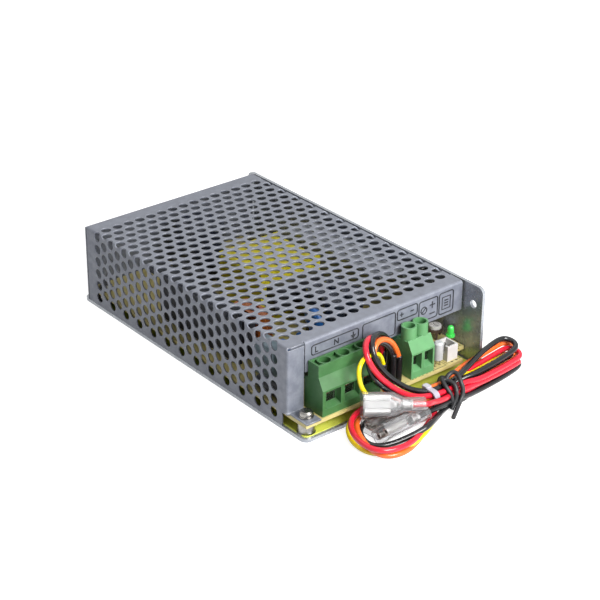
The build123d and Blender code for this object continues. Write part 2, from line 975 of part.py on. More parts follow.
def bridge_rectifier():
    """Flat four-lead bridge standing on the board."""
    half_x = bridge_length / 2
    half_y = bridge_thickness / 2
    bottom = board_top + transistor_lift / 2
    body = block(
        (bridge_x - half_x, bridge_x + half_x),
        (bridge_y - half_y, bridge_y + half_y),
        (bottom, bottom + bridge_height),
    )
    for step in (-1.5, -0.5, 0.5, 1.5):
        center = bridge_x + step * 2 * lead_pitch
        body += block(
            (center - lead_thickness, center + lead_thickness),
            (bridge_y - lead_thickness / 2, bridge_y + lead_thickness / 2),
            (board_top, bottom),
        )
    return body


def ring_core(x, y, bottom, height, radius, bore):
    """Upright-axis ring."""
    return post(x, y, bottom, bottom + height, radius) - post(x, y, bottom, bottom + height, bore)


def choke_core():
    """Ferrite ring of the line filter on a round foot."""
    bottom = board_top + choke_lift
    ring = ring_core(choke_x, choke_y, bottom, choke_height, choke_radius, choke_bore)
    foot = post(choke_x, choke_y, board_top, bottom, choke_radius)
    return ring + foot


def choke_windings():
    """Two opposite copper windings on the line filter's ring."""
    bottom = board_top + choke_lift + choke_winding
    height = choke_height + choke_winding
    sector = ring_core(
        choke_x, choke_y, bottom, height, choke_radius + choke_winding, choke_bore - choke_winding
    )
    core = ring_core(
        choke_x, choke_y, bottom - 1, choke_height - choke_winding + 1, choke_radius, choke_bore
    )
    keep = block(
        (choke_x - choke_radius * choke_gap_reach, choke_x + choke_radius * choke_gap_reach),
        (choke_y - choke_radius / 2, choke_y + choke_radius / 2),
        (bottom - 1, bottom + height + 1),
    )
    solids = (sector - core) & keep
    return list(solids.solids())


def output_choke():
    """Wound powder-core ring lying on the board beside the output capacitors."""
    ring = ring_core(
        output_choke_x, output_choke_y, board_top, output_choke_height, output_choke_radius, output_choke_bore
    )
    edges = ring.edges().filter_by(GeomType.CIRCLE)
    return chamfer(edges, output_choke_height * ring_edge)


def boxed_capacitor(x, y, length, width, height):
    """Moulded box capacitor."""
    half_x = length / 2
    half_y = width / 2
    return block((x - half_x, x + half_x), (y - half_y, y + half_y), (board_top, board_top + height))


def x_capacitor():
    """Line filter capacitor in a moulded box."""
    return boxed_capacitor(
        x_capacitor_x, x_capacitor_y, x_capacitor_length, x_capacitor_width, x_capacitor_height
    )


def film_capacitor():
    """Film capacitor in a moulded box near the output block."""
    return boxed_capacitor(
        film_capacitor_x, film_capacitor_y, film_capacitor_length, film_capacitor_width, film_capacitor_height
    )


def standing_disc(x, y, radius, thickness):
    """Dipped disc on edge, standing on the board."""
    near = y - thickness / 2
    disc = side_pin(x, board_top + radius, near, near + thickness, radius)
    return chamfer(disc.edges().filter_by(GeomType.CIRCLE), thickness * edge_break)


def y_capacitors():
    """Two safety discs of the line filter."""
    return [
        standing_disc(
            y_capacitor_x, y_capacitor_y + step * y_capacitor_pitch, y_capacitor_radius, y_capacitor_thickness
        )
        for step in (0, 1)
    ]


def inrush_thermistor():
    """Thermistor disc at the mains input."""
    return standing_disc(thermistor_x, thermistor_y, thermistor_radius, thermistor_thickness)


def line_fuse():
    """Sleeved glass fuse lying on the board along X."""
    half = line_fuse_length / 2
    lying = Pos(line_fuse_x, line_fuse_y, board_top + line_fuse_radius) * Rot(0, 90, 0)
    return lying * Cylinder(line_fuse_radius, 2 * half)


def lead_sleeves():
    """Shrink sleeves that hold the leads upright where they leave the board."""
    pads = (red_pad, black_pad, orange_pad, second_black_pad, yellow_pad)
    return [post(x, y, board_top, sleeve_top, sleeve_radius) for x, y in pads]


def bend_radii(points):
    """Radius of each bend: 0.45 of its shorter run over the tangent of half the turn."""
    radii = []
    for before, corner, after in zip(points, points[1:], points[2:]):
        run_in = Vector(*corner) - Vector(*before)
        run_out = Vector(*after) - Vector(*corner)
        half_turn = math.radians(run_in.get_angle(run_out)) / 2
        radii.append(bend_share * min(run_in.length, run_out.length) / math.tan(half_turn))
    return radii


def lead_tube(name, points, diameter):
    """Round lead along straight runs joined by tangent arcs."""
    radii = bend_radii(points)
    path = FilletPolyline(*points, radius=radii)
    tube = sweep(Plane(origin=path @ 0, z_dir=path % 0) * Circle(diameter / 2), path=path)
    expected = path.length * math.pi * diameter**2 / 4
    print(name, "length", round(path.length, 1), "radii", [round(radius, 1) for radius in radii])
    print(name, "volume ratio", round(tube.volume / expected, 4))
    return tube


red_route = [
    (*red_pad, sleeve_top),
    (*red_pad, 24.6),
    (73.2, -6.6, 32.8),
    (81.0, -14.8, 30.8),
    (84.8, -12.2, 21.0),
    (87.6, -5.2, 14.6),
    (90.2, 0.2, 10.4),
    (90.2, 6.2, 8.1),
]
black_route = [
    (*black_pad, sleeve_top),
    (*black_pad, 25.0),
    (73.8, -2.4, 34.2),
    (81.4, -9.2, 32.6),
    (84.9, -7.2, 22.4),
    (86.0, -3.0, 15.4),
    (87.2, 1.2, 10.8),
    (87.5, 6.2, 8.1),
]
orange_route = [
    (*orange_pad, sleeve_top),
    (*orange_pad, 24.0),
    (76.4, -1.0, 30.6),
    (80.2, -7.4, 29.3),
    (82.0, -9.4, 20.8),
    (85.0, -8.0, 11.8),
    (89.6, -5.0, 8.2),
    (92.8, 0.6, 8.1),
    (92.9, 6.2, 8.1),
]
second_black_route = [
    (*second_black_pad, sleeve_top),
    (*second_black_pad, 22.8),
    (75.8, -5.2, 26.6),
    (80.1, -12.6, 26.4),
    (81.6, -14.4, 18.2),
    (84.0, -11.6, 10.4),
    (90.8, -9.4, 8.2),
    (95.4, -2.0, 8.1),
    (95.6, 6.2, 8.1),
]
yellow_route = [
    (*yellow_pad, sleeve_top),
    (*yellow_pad, 21.8),
    (77.9, -7.6, 23.2),
    (78.9, -15.6, 22.2),
    (81.0, -22.4, 19.6),
    (81.9, -25.6, 13.0),
    (83.2, -26.6, 6.5),
]


def red_lead():
    """Red output lead from its sleeve over the board's edge to the hank."""
    return lead_tube("red_lead", red_route, lead_diameter)


def black_lead():
    """Black lead beside the red one."""
    return lead_tube("black_lead", black_route, lead_diameter)


def orange_lead():
    """Orange lead in the widest arch."""
    return lead_tube("orange_lead", orange_route, lead_diameter)


def second_black_lead():
    """Second black lead, lowest of the four."""
    return lead_tube("second_black_lead", second_black_route, lead_diameter)


def yellow_lead():
    """Thin yellow lead that loops down on the left."""
    return lead_tube("yellow_lead", yellow_route, thin_lead_diameter)


def lobe(center, length, width, turn, height):
    """Rounded slot-shaped block standing on the floor, long way along Y before its turn."""
    outline = Rot(0, 0, 90 + turn) * SlotOverall(length, width)
    return Pos(*center, 0) * extrude(outline, amount=height)


def lead_hank():
    """Outer form of the tied hank: open left lobe, narrow right lobe and the waist between."""
    left = lobe(left_lobe_center, left_lobe_length, left_lobe_width, left_lobe_turn, left_lobe_height)
    left = fillet(left.faces().sort_by(Axis.Z)[-1].edges(), hank_rounding)
    left -= lobe(left_lobe_center, left_hole_length, left_hole_width, left_lobe_turn, left_lobe_height)
    right = lobe(right_lobe_center, right_lobe_length, right_lobe_width, right_lobe_turn, right_lobe_height)
    right = fillet(right.faces().sort_by(Axis.Z)[-1].edges(), hank_rounding)
    right -= lobe(right_lobe_center, right_hole_length, right_hole_width, right_lobe_turn, right_lobe_height)
    x, y = waist_center
    clear_span = (cable_tie_y - cable_tie_width, twist_tie_y + twist_tie_width)
    x_reach = (x - left_lobe_width, x + left_lobe_width)
    cleared = block(x_reach, clear_span, (-1, right_lobe_height + 1))
    waist = Pos(x, y, waist_lift + waist_height / 2 - waist_lift / 2) * Box(
        waist_width, waist_length, waist_height - waist_lift
    )
    waist = fillet(waist.edges().filter_by(Axis.Y), hank_rounding)
    return (left + right) - cleared + waist


def band(y, width):
    """Closed band hugging the waist of the hank."""
    x = waist_center[0]
    inside_x = waist_width / 2 + band_fit
    low = waist_lift - band_fit
    high = waist_height + band_fit
    y_span = (y - width / 2, y + width / 2)
    outer_x = inside_x + band_thickness
    outer = block((x - outer_x, x + outer_x), y_span, (low - band_thickness, high + band_thickness))
    outer = fillet(outer.edges().filter_by(Axis.Y), hank_rounding + band_thickness)
    inner = block((x - inside_x, x + inside_x), (y_span[0] - 1, y_span[1] + 1), (low, high))
    return outer - fillet(inner.edges().filter_by(Axis.Y), hank_rounding + band_fit)


def cable_tie():
    """White nylon tie round the waist."""
    return band(cable_tie_y, cable_tie_width)


def twist_tie():
    """Black twist tie with two flat tails lying forward on the floor."""
    tie = band(twist_tie_y, twist_tie_width)
    side = waist_center[0] + waist_width / 2 + band_fit + band_thickness
    for reach, turn in twist_tails:
        tail = block((0, reach), (-twist_tail_width / 2, twist_tail_width / 2), (0, twist_tail_height))
        tie += Pos(side, twist_tie_y, waist_lift) * Rot(0, 0, turn) * tail
    return tie


def spade_boot():
    """Clear boot of one spade connector along +X, open end at the origin."""
    half_w = boot_width / 2
    half_t = boot_thickness / 2
    body = block((0, boot_length), (-half_w, half_w), (-half_t, half_t))
    body = fillet(body.edges().filter_by(Axis.X), boot_thickness * edge_break)
    neck_start = boot_length + boot_taper
    shoulder = loft(
        [
            Plane.YZ.offset(boot_length) * RectangleRounded(boot_width, boot_thickness, boot_thickness * edge_break),
            Plane.YZ.offset(neck_start) * Circle(boot_neck_radius),
        ]
    )
    neck = Pos(neck_start + boot_neck_length / 2, 0, 0) * Rot(0, 90, 0) * Cylinder(
        boot_neck_radius, boot_neck_length
    )
    boot = body + shoulder + neck
    room = block((-1, boot_length), (-half_w + boot_wall, half_w - boot_wall), (-half_t + boot_wall, half_t - boot_wall))
    bore_length = boot_taper + boot_neck_length + 2
    bore = Pos(boot_length - 1 + bore_length / 2, 0, 0) * Rot(0, 90, 0) * Cylinder(
        boot_neck_radius - boot_wall, bore_length
    )
    return boot - room - bore


def spade_receptacle():
    """Tinned receptacle inside a boot: flat floor, two rolled edges and a crimp barrel."""
    half = blade_width / 2
    start = boot_wall
    end = boot_length - 1
    floor = block((start, end), (-half + blade_roll_radius, half - blade_roll_radius), (-blade_thickness / 2, blade_thickness / 2))
    blade = floor
    for side in (-1, 1):
        roll = Pos((start + end) / 2, side * (half - blade_roll_radius), 0) * Rot(0, 90, 0) * Cylinder(
            blade_roll_radius, end - start
        )
        blade += roll
    bridge = block((end - 1, boot_length + boot_taper), (-barrel_radius, barrel_radius), (-blade_thickness / 2, blade_thickness / 2))
    barrel = Pos(boot_length + boot_taper + barrel_length / 2 - 1, 0, 0) * Rot(0, 90, 0) * Cylinder(
        barrel_radius, barrel_length
    )
    return blade + bridge + barrel


def spade_frames():
    """Where the three connectors lie: one on the left lobe, two side by side inside it."""
    red = Plane(origin=red_boot_mouth, x_dir=red_boot_along, z_dir=red_boot_up)
    along = Vector(1, 0, 0).rotate(Axis.Z, 90 + left_lobe_turn)
    across = Vector(0, -1, 0).rotate(Axis.Z, 90 + left_lobe_turn)
    middle = Vector(*left_lobe_center, 0)
    mouth = middle - along * boot_length
    black = Plane(
        origin=mouth + across * black_boot_offset + Vector(0, 0, black_boot_lift),
        x_dir=along,
        z_dir=Vector(0, 0, 1) + across * math.tan(math.radians(black_boot_tilt)),
    )
    orange = Plane(
        origin=mouth - across * orange_boot_offset + Vector(0, 0, boot_thickness / 2 + band_fit),
        x_dir=along,
        z_dir=(0, 0, 1),
    )
    return [red, black, orange]


def spade_boots():
    """Three clear boots."""
    return [frame.location * spade_boot() for frame in spade_frames()]


def spade_receptacles():
    """Three receptacles, each in its boot."""
    return [frame.location * spade_receptacle() for frame in spade_frames()]


def tail_lead(name, frame, points):
    """Lead of one connector: straight out of its crimp barrel, then along the given points."""
    reach = boot_length + boot_taper + barrel_length - 1
    start = frame.from_local_coords(Vector(reach, 0, 0))
    straight = frame.from_local_coords(Vector(reach + boot_taper, 0, 0))
    return lead_tube(name, [tuple(start), tuple(straight), *points], lead_diameter)


def red_tail():
    """Red lead from its connector back into the side of the waist."""
    points = [(103.4, 1.2, 11.2), (102.2, 7.6, 8.6), (99.2, 13.4, 7.0), (96.4, 16.6, 6.4)]
    return tail_lead("red_tail", spade_frames()[0], points)


def black_tail():
    """Black lead from its connector back into the side of the waist."""
    points = [(102.6, 5.2, 5.4), (101.4, 11.8, 4.6), (96.4, 16.0, 3.6)]
    return tail_lead("black_tail", spade_frames()[1], points)


def orange_tail():
    """Orange lead from the lower connector into the end of the waist."""
    return tail_lead("orange_tail", spade_frames()[2], [(93.2, 6.2, 3.2)])


def terminal_nodes():
    """Screws and clamps of both blocks, each in a node of its own."""
    nodes = {}
    for number, y in enumerate(pole_places(input_poles, input_pole_pitch, input_center_y), 1):
        nodes[f"input_screw_{number}"] = terminal_screw(y, input_head_radius)
        nodes[f"input_clamp_{number}"] = terminal_clamp(y, input_clamp_width, input_bar_width)
    for number, y in enumerate(pole_places(output_poles, output_pole_pitch, output_center_y), 1):
        nodes[f"output_screw_{number}"] = terminal_screw(y, output_head_radius)
        nodes[f"output_clamp_{number}"] = terminal_clamp(y, output_clamp_width, output_bar_width)
    return nodes


def input_contacts():
    """Current bars of the input block."""
    places = pole_places(input_poles, input_pole_pitch, input_center_y)
    return [terminal_contact(y, input_bar_width) for y in places]


def output_contacts():
    """Current bars of the output block."""
    places = pole_places(output_poles, output_pole_pitch, output_center_y)
    return [terminal_contact(y, output_bar_width) for y in places]


def build_nodes():
    """Every sub-part by its node name."""
    makers = [
        base_chassis, insulation_sheet, cover, pcb, standoffs, board_screws, cover_screws,
        input_terminal_body, input_contacts, output_terminal_body, output_contacts,
        trimmer_base, trimmer_rotor, power_led, led_leads, header_shell, header_pins,
        battery_fuse, fuse_leads, transformer_core, transformer_winding, bulk_capacitor,
        output_capacitors, primary_heatsink, primary_transistor, secondary_heatsink,
        secondary_rectifier, bridge_rectifier, choke_core, choke_windings, output_choke,
        x_capacitor, y_capacitors, film_capacitor, line_fuse, inrush_thermistor,
        lead_sleeves, red_lead, black_lead, orange_lead, second_black_lead, yellow_lead,
        lead_hank, cable_tie, twist_tie, spade_boots, spade_receptacles,
        red_tail, black_tail, orange_tail,
    ]
    nodes = {maker.__name__: maker() for maker in makers}
    nodes.update(terminal_nodes())
    return nodes


def main():
    """Write one file per sub-part."""
    os.makedirs("parts", exist_ok=True)
    for name, shape in build_nodes().items():
        if isinstance(shape, list):
            shape = Compound(children=shape)
        export_step(shape, f"parts/{name}.step")


main()
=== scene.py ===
from math import cos, pi, radians, sin, sqrt

import bmesh
import bpy
from mathutils import Matrix, Vector


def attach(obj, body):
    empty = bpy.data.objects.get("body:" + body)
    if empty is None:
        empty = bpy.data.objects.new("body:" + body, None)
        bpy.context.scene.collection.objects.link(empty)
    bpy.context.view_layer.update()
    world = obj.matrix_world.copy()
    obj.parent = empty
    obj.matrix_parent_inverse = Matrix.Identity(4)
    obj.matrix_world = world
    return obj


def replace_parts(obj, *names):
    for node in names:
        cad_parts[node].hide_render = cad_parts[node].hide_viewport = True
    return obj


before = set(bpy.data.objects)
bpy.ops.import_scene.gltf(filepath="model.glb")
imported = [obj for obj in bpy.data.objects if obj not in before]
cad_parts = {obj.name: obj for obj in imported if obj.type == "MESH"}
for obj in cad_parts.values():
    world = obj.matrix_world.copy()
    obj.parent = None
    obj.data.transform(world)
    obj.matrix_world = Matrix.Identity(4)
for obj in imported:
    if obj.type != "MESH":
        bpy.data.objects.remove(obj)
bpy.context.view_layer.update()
mm = 0.001
print("frame loaded")


def metres(point):
    return Vector(point) * mm


view = {
    "place": (521.9, -419.0, 367.0),
    "turn": 51.44,
    "height": 27.3,
    "lens": 103.5,
    "shift": (0.05, -0.019),
}


def setCamera():
    data = bpy.data.cameras.new("photoCamera")
    data.sensor_width = 36
    data.lens = view["lens"]
    data.shift_x, data.shift_y = view["shift"]
    data.clip_start = 0.01
    camera = bpy.data.objects.new("photoCamera", data)
    camera.location = metres(view["place"])
    camera.rotation_euler = (radians(90 - view["height"]), 0, radians(view["turn"]))
    bpy.context.collection.objects.link(camera)
    bpy.context.scene.camera = camera


setCamera()

studio = {
    "worldLevel": 0.2,
    "floorColour": (0.62, 0.62, 0.62, 1),
    "floorGlow": 0.8,
    "floorSize": 6,
    "floorDrop": 0.0001,
    "lamps": {
        "key": {"place": (640, 60, 420), "size": 0.4, "watts": 10.2, "aim": (60, 0, 10)},
        "fill": {"place": (60, -640, 380), "size": 0.8, "watts": 0.15, "aim": (0, 0, 10)},
        "top": {"place": (-120, 80, 760), "size": 0.8, "watts": 1.9, "aim": (0, 0, 20)},
    },
}


def addNode(tree, kind, **sockets):
    node = tree.nodes.new(kind)
    for name, value in sockets.items():
        node.inputs[name].default_value = value
    return node


def join(tree, source, target):
    tree.links.new(source, target)


def feed(tree, value, socket):
    # a plain value goes on the socket itself, anything else is linked
    if isinstance(value, (int, float, tuple)):
        socket.default_value = value
    else:
        join(tree, value, socket)


def mathNode(tree, operation, first, second):
    node = addNode(tree, "ShaderNodeMath")
    node.operation = operation
    feed(tree, first, node.inputs[0])
    feed(tree, second, node.inputs[1])
    return node.outputs[0]


def mixShaders(tree, factor, first, second):
    node = addNode(tree, "ShaderNodeMixShader")
    for source, socket in zip((factor, first.outputs[0], second.outputs[0]), node.inputs):
        join(tree, source, socket)
    return node.outputs[0]


def seenDirectly(tree):
    # camera, glossy and see-through rays share the white backdrop
    path = addNode(tree, "ShaderNodeLightPath")
    first = mathNode(tree, "MAXIMUM", path.outputs["Is Camera Ray"], path.outputs["Is Glossy Ray"])
    return mathNode(tree, "MAXIMUM", first, path.outputs["Is Transmission Ray"])


def lightStudio():
    world = bpy.data.worlds.new("studio")
    bpy.context.scene.world = world
    world.use_nodes = True
    bpy.context.scene.view_settings.view_transform = "Standard"
    tree = world.node_tree
    tree.nodes.clear()
    soft = addNode(tree, "ShaderNodeBackground", Color=(1, 1, 1, 1), Strength=studio["worldLevel"])
    white = addNode(tree, "ShaderNodeBackground", Color=(1, 1, 1, 1), Strength=1.0)
    output = addNode(tree, "ShaderNodeOutputWorld")
    join(tree, mixShaders(tree, seenDirectly(tree), soft, white), output.inputs["Surface"])
    for name, look in studio["lamps"].items():
        data = bpy.data.lights.new(name, "AREA")
        data.size = look["size"]
        data.energy = look["watts"]
        light = bpy.data.objects.new(name, data)
        light.location = metres(look["place"])
        aim = metres(look["aim"]) - light.location
        light.rotation_euler = aim.to_track_quat("-Z", "Y").to_euler()
        bpy.context.collection.objects.link(light)


def layFloor():
    bpy.ops.mesh.primitive_plane_add(size=studio["floorSize"], location=(0, 0, -studio["floorDrop"]))
    floor = bpy.context.object
    floor.name = "floor"
    material = bpy.data.materials.new("paleFloor")
    material.use_nodes = True
    tree = material.node_tree
    tree.nodes.clear()
    paper = addNode(tree, "ShaderNodeBsdfDiffuse", Color=studio["floorColour"])
    glow = addNode(tree, "ShaderNodeEmission", Strength=studio["floorGlow"])
    dark = addNode(tree, "ShaderNodeEmission", Strength=0.0)
    total = addNode(tree, "ShaderNodeAddShader")
    join(tree, paper.outputs[0], total.inputs[0])
    join(tree, mixShaders(tree, seenDirectly(tree), dark, glow), total.inputs[1])
    output = addNode(tree, "ShaderNodeOutputMaterial")
    join(tree, total.outputs[0], output.inputs["Surface"])
    floor.data.materials.append(material)


lightStudio()
layFloor()
print("camera, lights and floor done")


def newGroup(name, inputs, outputs):
    # four numbers make a colour socket, one makes a value socket
    tree = bpy.data.node_groups.new(name, "ShaderNodeTree")
    for label, value in inputs.items():
        kind = "NodeSocketColor" if isinstance(value, tuple) else "NodeSocketFloat"
        socket = tree.interface.new_socket(label, in_out="INPUT", socket_type=kind)
        socket.default_value = value
    for label in outputs:
        kind = "NodeSocketColor" if label == "Color" else "NodeSocketFloat"
        tree.interface.new_socket(label, in_out="OUTPUT", socket_type=kind)
    return tree, tree.nodes.new("NodeGroupInput"), tree.nodes.new("NodeGroupOutput")


def rampNode(tree, source, low, high):
    node = addNode(tree, "ShaderNodeMapRange")
    node.clamp = True
    node.inputs["From Min"].default_value = low
    node.inputs["From Max"].default_value = high
    join(tree, source, node.inputs["Value"])
    return node.outputs["Result"]


def noiseNode(tree, place, scale, detail, roughness):
    node = addNode(tree, "ShaderNodeTexNoise", Detail=detail, Roughness=roughness)
    join(tree, place, node.inputs["Vector"])
    feed(tree, scale, node.inputs["Scale"])
    return node.outputs["Fac"]


def objectPlace(tree):
    return addNode(tree, "ShaderNodeTexCoord").outputs["Object"]


def stretchedPlace(tree, source):
    # object coordinates, drawn out along X by the group's own stretch
    shape = addNode(tree, "ShaderNodeCombineXYZ", Y=1.0, Z=1.0)
    join(tree, source.outputs["Stretch"], shape.inputs["X"])
    stretched = addNode(tree, "ShaderNodeVectorMath")
    stretched.operation = "MULTIPLY"
    join(tree, objectPlace(tree), stretched.inputs[0])
    join(tree, shape.outputs[0], stretched.inputs[1])
    return stretched.outputs[0]


def mixColours(tree, factor, first, second):
    mix = addNode(tree, "ShaderNodeMix")
    mix.data_type = "RGBA"
    join(tree, factor, mix.inputs[0])
    colourInputs = [s for s in mix.inputs if s.type == "RGBA"]
    feed(tree, first, colourInputs[0])
    feed(tree, second, colourInputs[1])
    return next(s for s in mix.outputs if s.type == "RGBA")


def makeMottle():
    # two colours drifting into each other in broad clouds
    tree, source, sink = newGroup(
        "colourMottle",
        {"First": (0.5, 0.5, 0.5, 1), "Second": (0.4, 0.4, 0.4, 1), "Scale": 100.0, "Stretch": 1.0},
        ["Color"],
    )
    noise = noiseNode(tree, stretchedPlace(tree, source), source.outputs["Scale"], 4.0, 0.6)
    cloud = rampNode(tree, noise, 0.36, 0.64)
    colour = mixColours(tree, cloud, source.outputs["First"], source.outputs["Second"])
    join(tree, colour, sink.inputs["Color"])
    return tree


def makeGrain():
    # fine pits and lines for roughness and bump
    tree, source, sink = newGroup(
        "surfaceGrain",
        {"Scale": 2000.0, "Stretch": 1.0, "Low": 0.3, "High": 0.6},
        ["Roughness", "Height"],
    )
    noise = noiseNode(tree, stretchedPlace(tree, source), source.outputs["Scale"], 3.0, 0.55)
    span = mathNode(tree, "SUBTRACT", source.outputs["High"], source.outputs["Low"])
    part = mathNode(tree, "MULTIPLY", rampNode(tree, noise, 0.3, 0.7), span)
    join(tree, mathNode(tree, "ADD", part, source.outputs["Low"]), sink.inputs["Roughness"])
    join(tree, noise, sink.inputs["Height"])
    return tree


def makePaintedEdgeHighlight():
    # painted highlight along corners and edges, broken up by noise
    tree, source, sink = newGroup("edgeWear", {"Radius": 0.0003, "Amount": 0.5}, ["Mask"])
    bevel = addNode(tree, "ShaderNodeBevel")
    bevel.samples = 4
    join(tree, source.outputs["Radius"], bevel.inputs["Radius"])
    geometry = addNode(tree, "ShaderNodeNewGeometry")
    dot = addNode(tree, "ShaderNodeVectorMath")
    dot.operation = "DOT_PRODUCT"
    join(tree, bevel.outputs["Normal"], dot.inputs[0])
    join(tree, geometry.outputs["Normal"], dot.inputs[1])
    edge = rampNode(tree, mathNode(tree, "SUBTRACT", 1.0, dot.outputs["Value"]), 0.01, 0.16)
    noise = noiseNode(tree, objectPlace(tree), 420.0, 3.0, 0.5)
    broken = mathNode(tree, "MULTIPLY", edge, rampNode(tree, noise, 0.3, 0.62))
    join(tree, mathNode(tree, "MULTIPLY", broken, source.outputs["Amount"]), sink.inputs["Mask"])
    return tree


def makeDust():
    # settles on what faces up
    tree, source, sink = newGroup("settledDust", {"Amount": 0.2, "Scale": 300.0}, ["Mask"])
    geometry = addNode(tree, "ShaderNodeNewGeometry")
    parts = addNode(tree, "ShaderNodeSeparateXYZ")
    join(tree, geometry.outputs["Normal"], parts.inputs[0])
    up = rampNode(tree, parts.outputs["Z"], 0.2, 0.95)
    noise = noiseNode(tree, objectPlace(tree), source.outputs["Scale"], 5.0, 0.7)
    cloud = mathNode(tree, "MULTIPLY", up, rampNode(tree, noise, 0.4, 0.7))
    join(tree, mathNode(tree, "MULTIPLY", cloud, source.outputs["Amount"]), sink.inputs["Mask"])
    return tree


# the edge group paints a lighter highlight colour along corners
groups = {"mottle": makeMottle(), "grain": makeGrain(), "edgeHighlight": makePaintedEdgeHighlight(), "dust": makeDust()}
print("shader groups made")


def placeGroup(tree, key, **values):
    node = tree.nodes.new("ShaderNodeGroup")
    node.node_tree = groups[key]
    for name, value in values.items():
        node.inputs[name].default_value = value
    return node


def srgb(text):
    # a web colour as linear light
    levels = [int(text[i : i + 2], 16) / 255 for i in (0, 2, 4)]
    return tuple(v / 12.92 if v <= 0.04045 else ((v + 0.055) / 1.055) ** 2.4 for v in levels) + (1.0,)


# what a finish has where its own dictionary says nothing
plainLook = {
    "mottle": 120.0,
    "grain": 1800.0,
    "stretch": 1.0,
    "rough": (0.4, 0.6),
    "bump": 0.15,
    "depth": 0.02,
    "metal": 0.0,
    "coat": 0.0,
    "coatRough": 0.15,
    "clear": 0.0,
    "bend": 1.45,
    "dustScale": 260.0,
    "dustColour": "b9b6ad",
}
shaderSockets = {
    "Metallic": "metal",
    "Coat Weight": "coat",
    "Coat Roughness": "coatRough",
    "Transmission Weight": "clear",
    "IOR": "bend",
}


def finish(name, changes):
    look = {**plainLook, **changes}
    material = bpy.data.materials.new(name)
    material.use_nodes = True
    tree = material.node_tree
    shader = tree.nodes["Principled BSDF"]
    mottle = placeGroup(
        tree,
        "mottle",
        First=srgb(look["colour"]),
        Second=srgb(look["second"]),
        Scale=look["mottle"],
        Stretch=look["stretch"],
    )
    colour = mottle.outputs["Color"]
    low, high = look["rough"]
    grain = placeGroup(tree, "grain", Scale=look["grain"], Stretch=look["stretch"], Low=low, High=high)
    # a lighter colour along corners: a painted edge highlight
    if "edgeHighlight" in look:
        highlightColour, radius, amount = look["edgeHighlight"]
        edgeHighlight = placeGroup(tree, "edgeHighlight", Radius=radius * mm, Amount=amount)
        colour = mixColours(tree, edgeHighlight.outputs["Mask"], colour, srgb(highlightColour))
    if "dust" in look:
        dust = placeGroup(tree, "dust", Amount=look["dust"], Scale=look["dustScale"])
        colour = mixColours(tree, dust.outputs["Mask"], colour, srgb(look["dustColour"]))
    join(tree, colour, shader.inputs["Base Color"])
    join(tree, grain.outputs["Roughness"], shader.inputs["Roughness"])
    bump = addNode(tree, "ShaderNodeBump", Strength=look["bump"], Distance=look["depth"] * mm)
    join(tree, grain.outputs["Height"], bump.inputs["Height"])
    join(tree, bump.outputs["Normal"], shader.inputs["Normal"])
    for socket, key in shaderSockets.items():
        shader.inputs[socket].default_value = look[key]
    if "glow" in look:
        shader.inputs["Emission Color"].default_value = srgb(look["colour"])
        shader.inputs["Emission Strength"].default_value = look["glow"]
    return material


def dress(node, material):
    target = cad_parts[node]
    for slot in target.material_slots:
        slot.link = "OBJECT"
        slot.material = material
    if not target.material_slots:
        target.data.materials.append(material)


def addPiece(name, data, material, turn=(0, 0, 0), place=(0, 0, 0)):
    data.materials.append(material)
    piece = bpy.data.objects.new(name, data)
    piece.rotation_euler = turn
    piece.location = metres(place)
    bpy.context.collection.objects.link(piece)
    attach(piece, "module")
    return piece


def addMesh(name, vertices, faces, material, slotName, smooth=False):
    data = bpy.data.meshes.new(name)
    data.from_pydata([metres(v) for v in vertices], [], faces)
    data.validate()
    for face in data.polygons:
        face.use_smooth = smooth
    return addPiece(name, data, material)


def thicken(piece, thickness):
    wall = piece.modifiers.new("wall", "SOLIDIFY")
    wall.thickness = thickness * mm


def flatRing(x, y, z, radius, sides):
    turns = [2 * pi * i / sides for i in range(sides)]
    return [(x + radius * cos(t), y + radius * sin(t), z) for t in turns]


def ovalRing(x, halfWidth, halfThickness, power, count=32):
    ring = []
    for i in range(count):
        t = 2 * pi * i / count
        y = abs(cos(t)) ** (2 / power) * halfWidth * (1 if cos(t) >= 0 else -1)
        z = abs(sin(t)) ** (2 / power) * halfThickness * (1 if sin(t) >= 0 else -1)
        ring.append((x, y, z))
    return ring


def stackRings(rings, closeStart=False, closeEnd=False):
    # rings of points joined into a tube
    count = len(rings[0])
    vertices = [p for ring in rings for p in ring]
    faces = []
    for r in range(len(rings) - 1):
        for i in range(count):
            j = (i + 1) % count
            faces.append((r * count + i, (r + 1) * count + i, (r + 1) * count + j, r * count + j))
    if closeStart:
        faces.append(tuple(range(count)))
    if closeEnd:
        faces.append(tuple((len(rings) - 1) * count + i for i in reversed(range(count))))
    return vertices, faces


def joinRows(rows):
    # rows of points joined into an open sheet
    count = len(rows[0])
    vertices = [p for row in rows for p in row]
    faces = []
    for r in range(len(rows) - 1):
        for i in range(count - 1):
            low, high = r * count + i, (r + 1) * count + i
            faces.append((low, high, high + 1, low + 1))
    return vertices, faces


def mergeParts(parts):
    vertices, faces = [], []
    for partVertices, partFaces in parts:
        base = len(vertices)
        vertices += partVertices
        faces += [tuple(base + i for i in face) for face in partFaces]
    return vertices, faces


def addPolyline(data, points, closed=True):
    spline = data.splines.new("POLY")
    spline.points.add(len(points) - 1)
    for slot, point in zip(spline.points, points):
        slot.co = (*point, 1)
    spline.use_cyclic_u = closed


def drawStrokes(name, strokes, radius, roundness, material):
    # printed lines as thin beads half sunk in the surface
    data = bpy.data.curves.new(name, "CURVE")
    data.dimensions = "3D"
    data.bevel_depth = radius * mm
    data.bevel_resolution = roundness
    for path, closed in strokes:
        addPolyline(data, [metres(point) for point in path], closed)
    return addPiece(name, data, material)


def roundCord(name, points, radius, material):
    data = bpy.data.curves.new(name, "CURVE")
    data.dimensions = "3D"
    data.resolution_u = 8
    data.bevel_depth = radius * mm
    data.bevel_resolution = 4
    data.use_fill_caps = True
    spline = data.splines.new("NURBS")
    spline.points.add(len(points) - 1)
    for slot, point in zip(spline.points, points):
        slot.co = (*metres(point), 1)
    spline.order_u = 3
    spline.use_endpoint_u = True
    return addPiece(name, data, material)


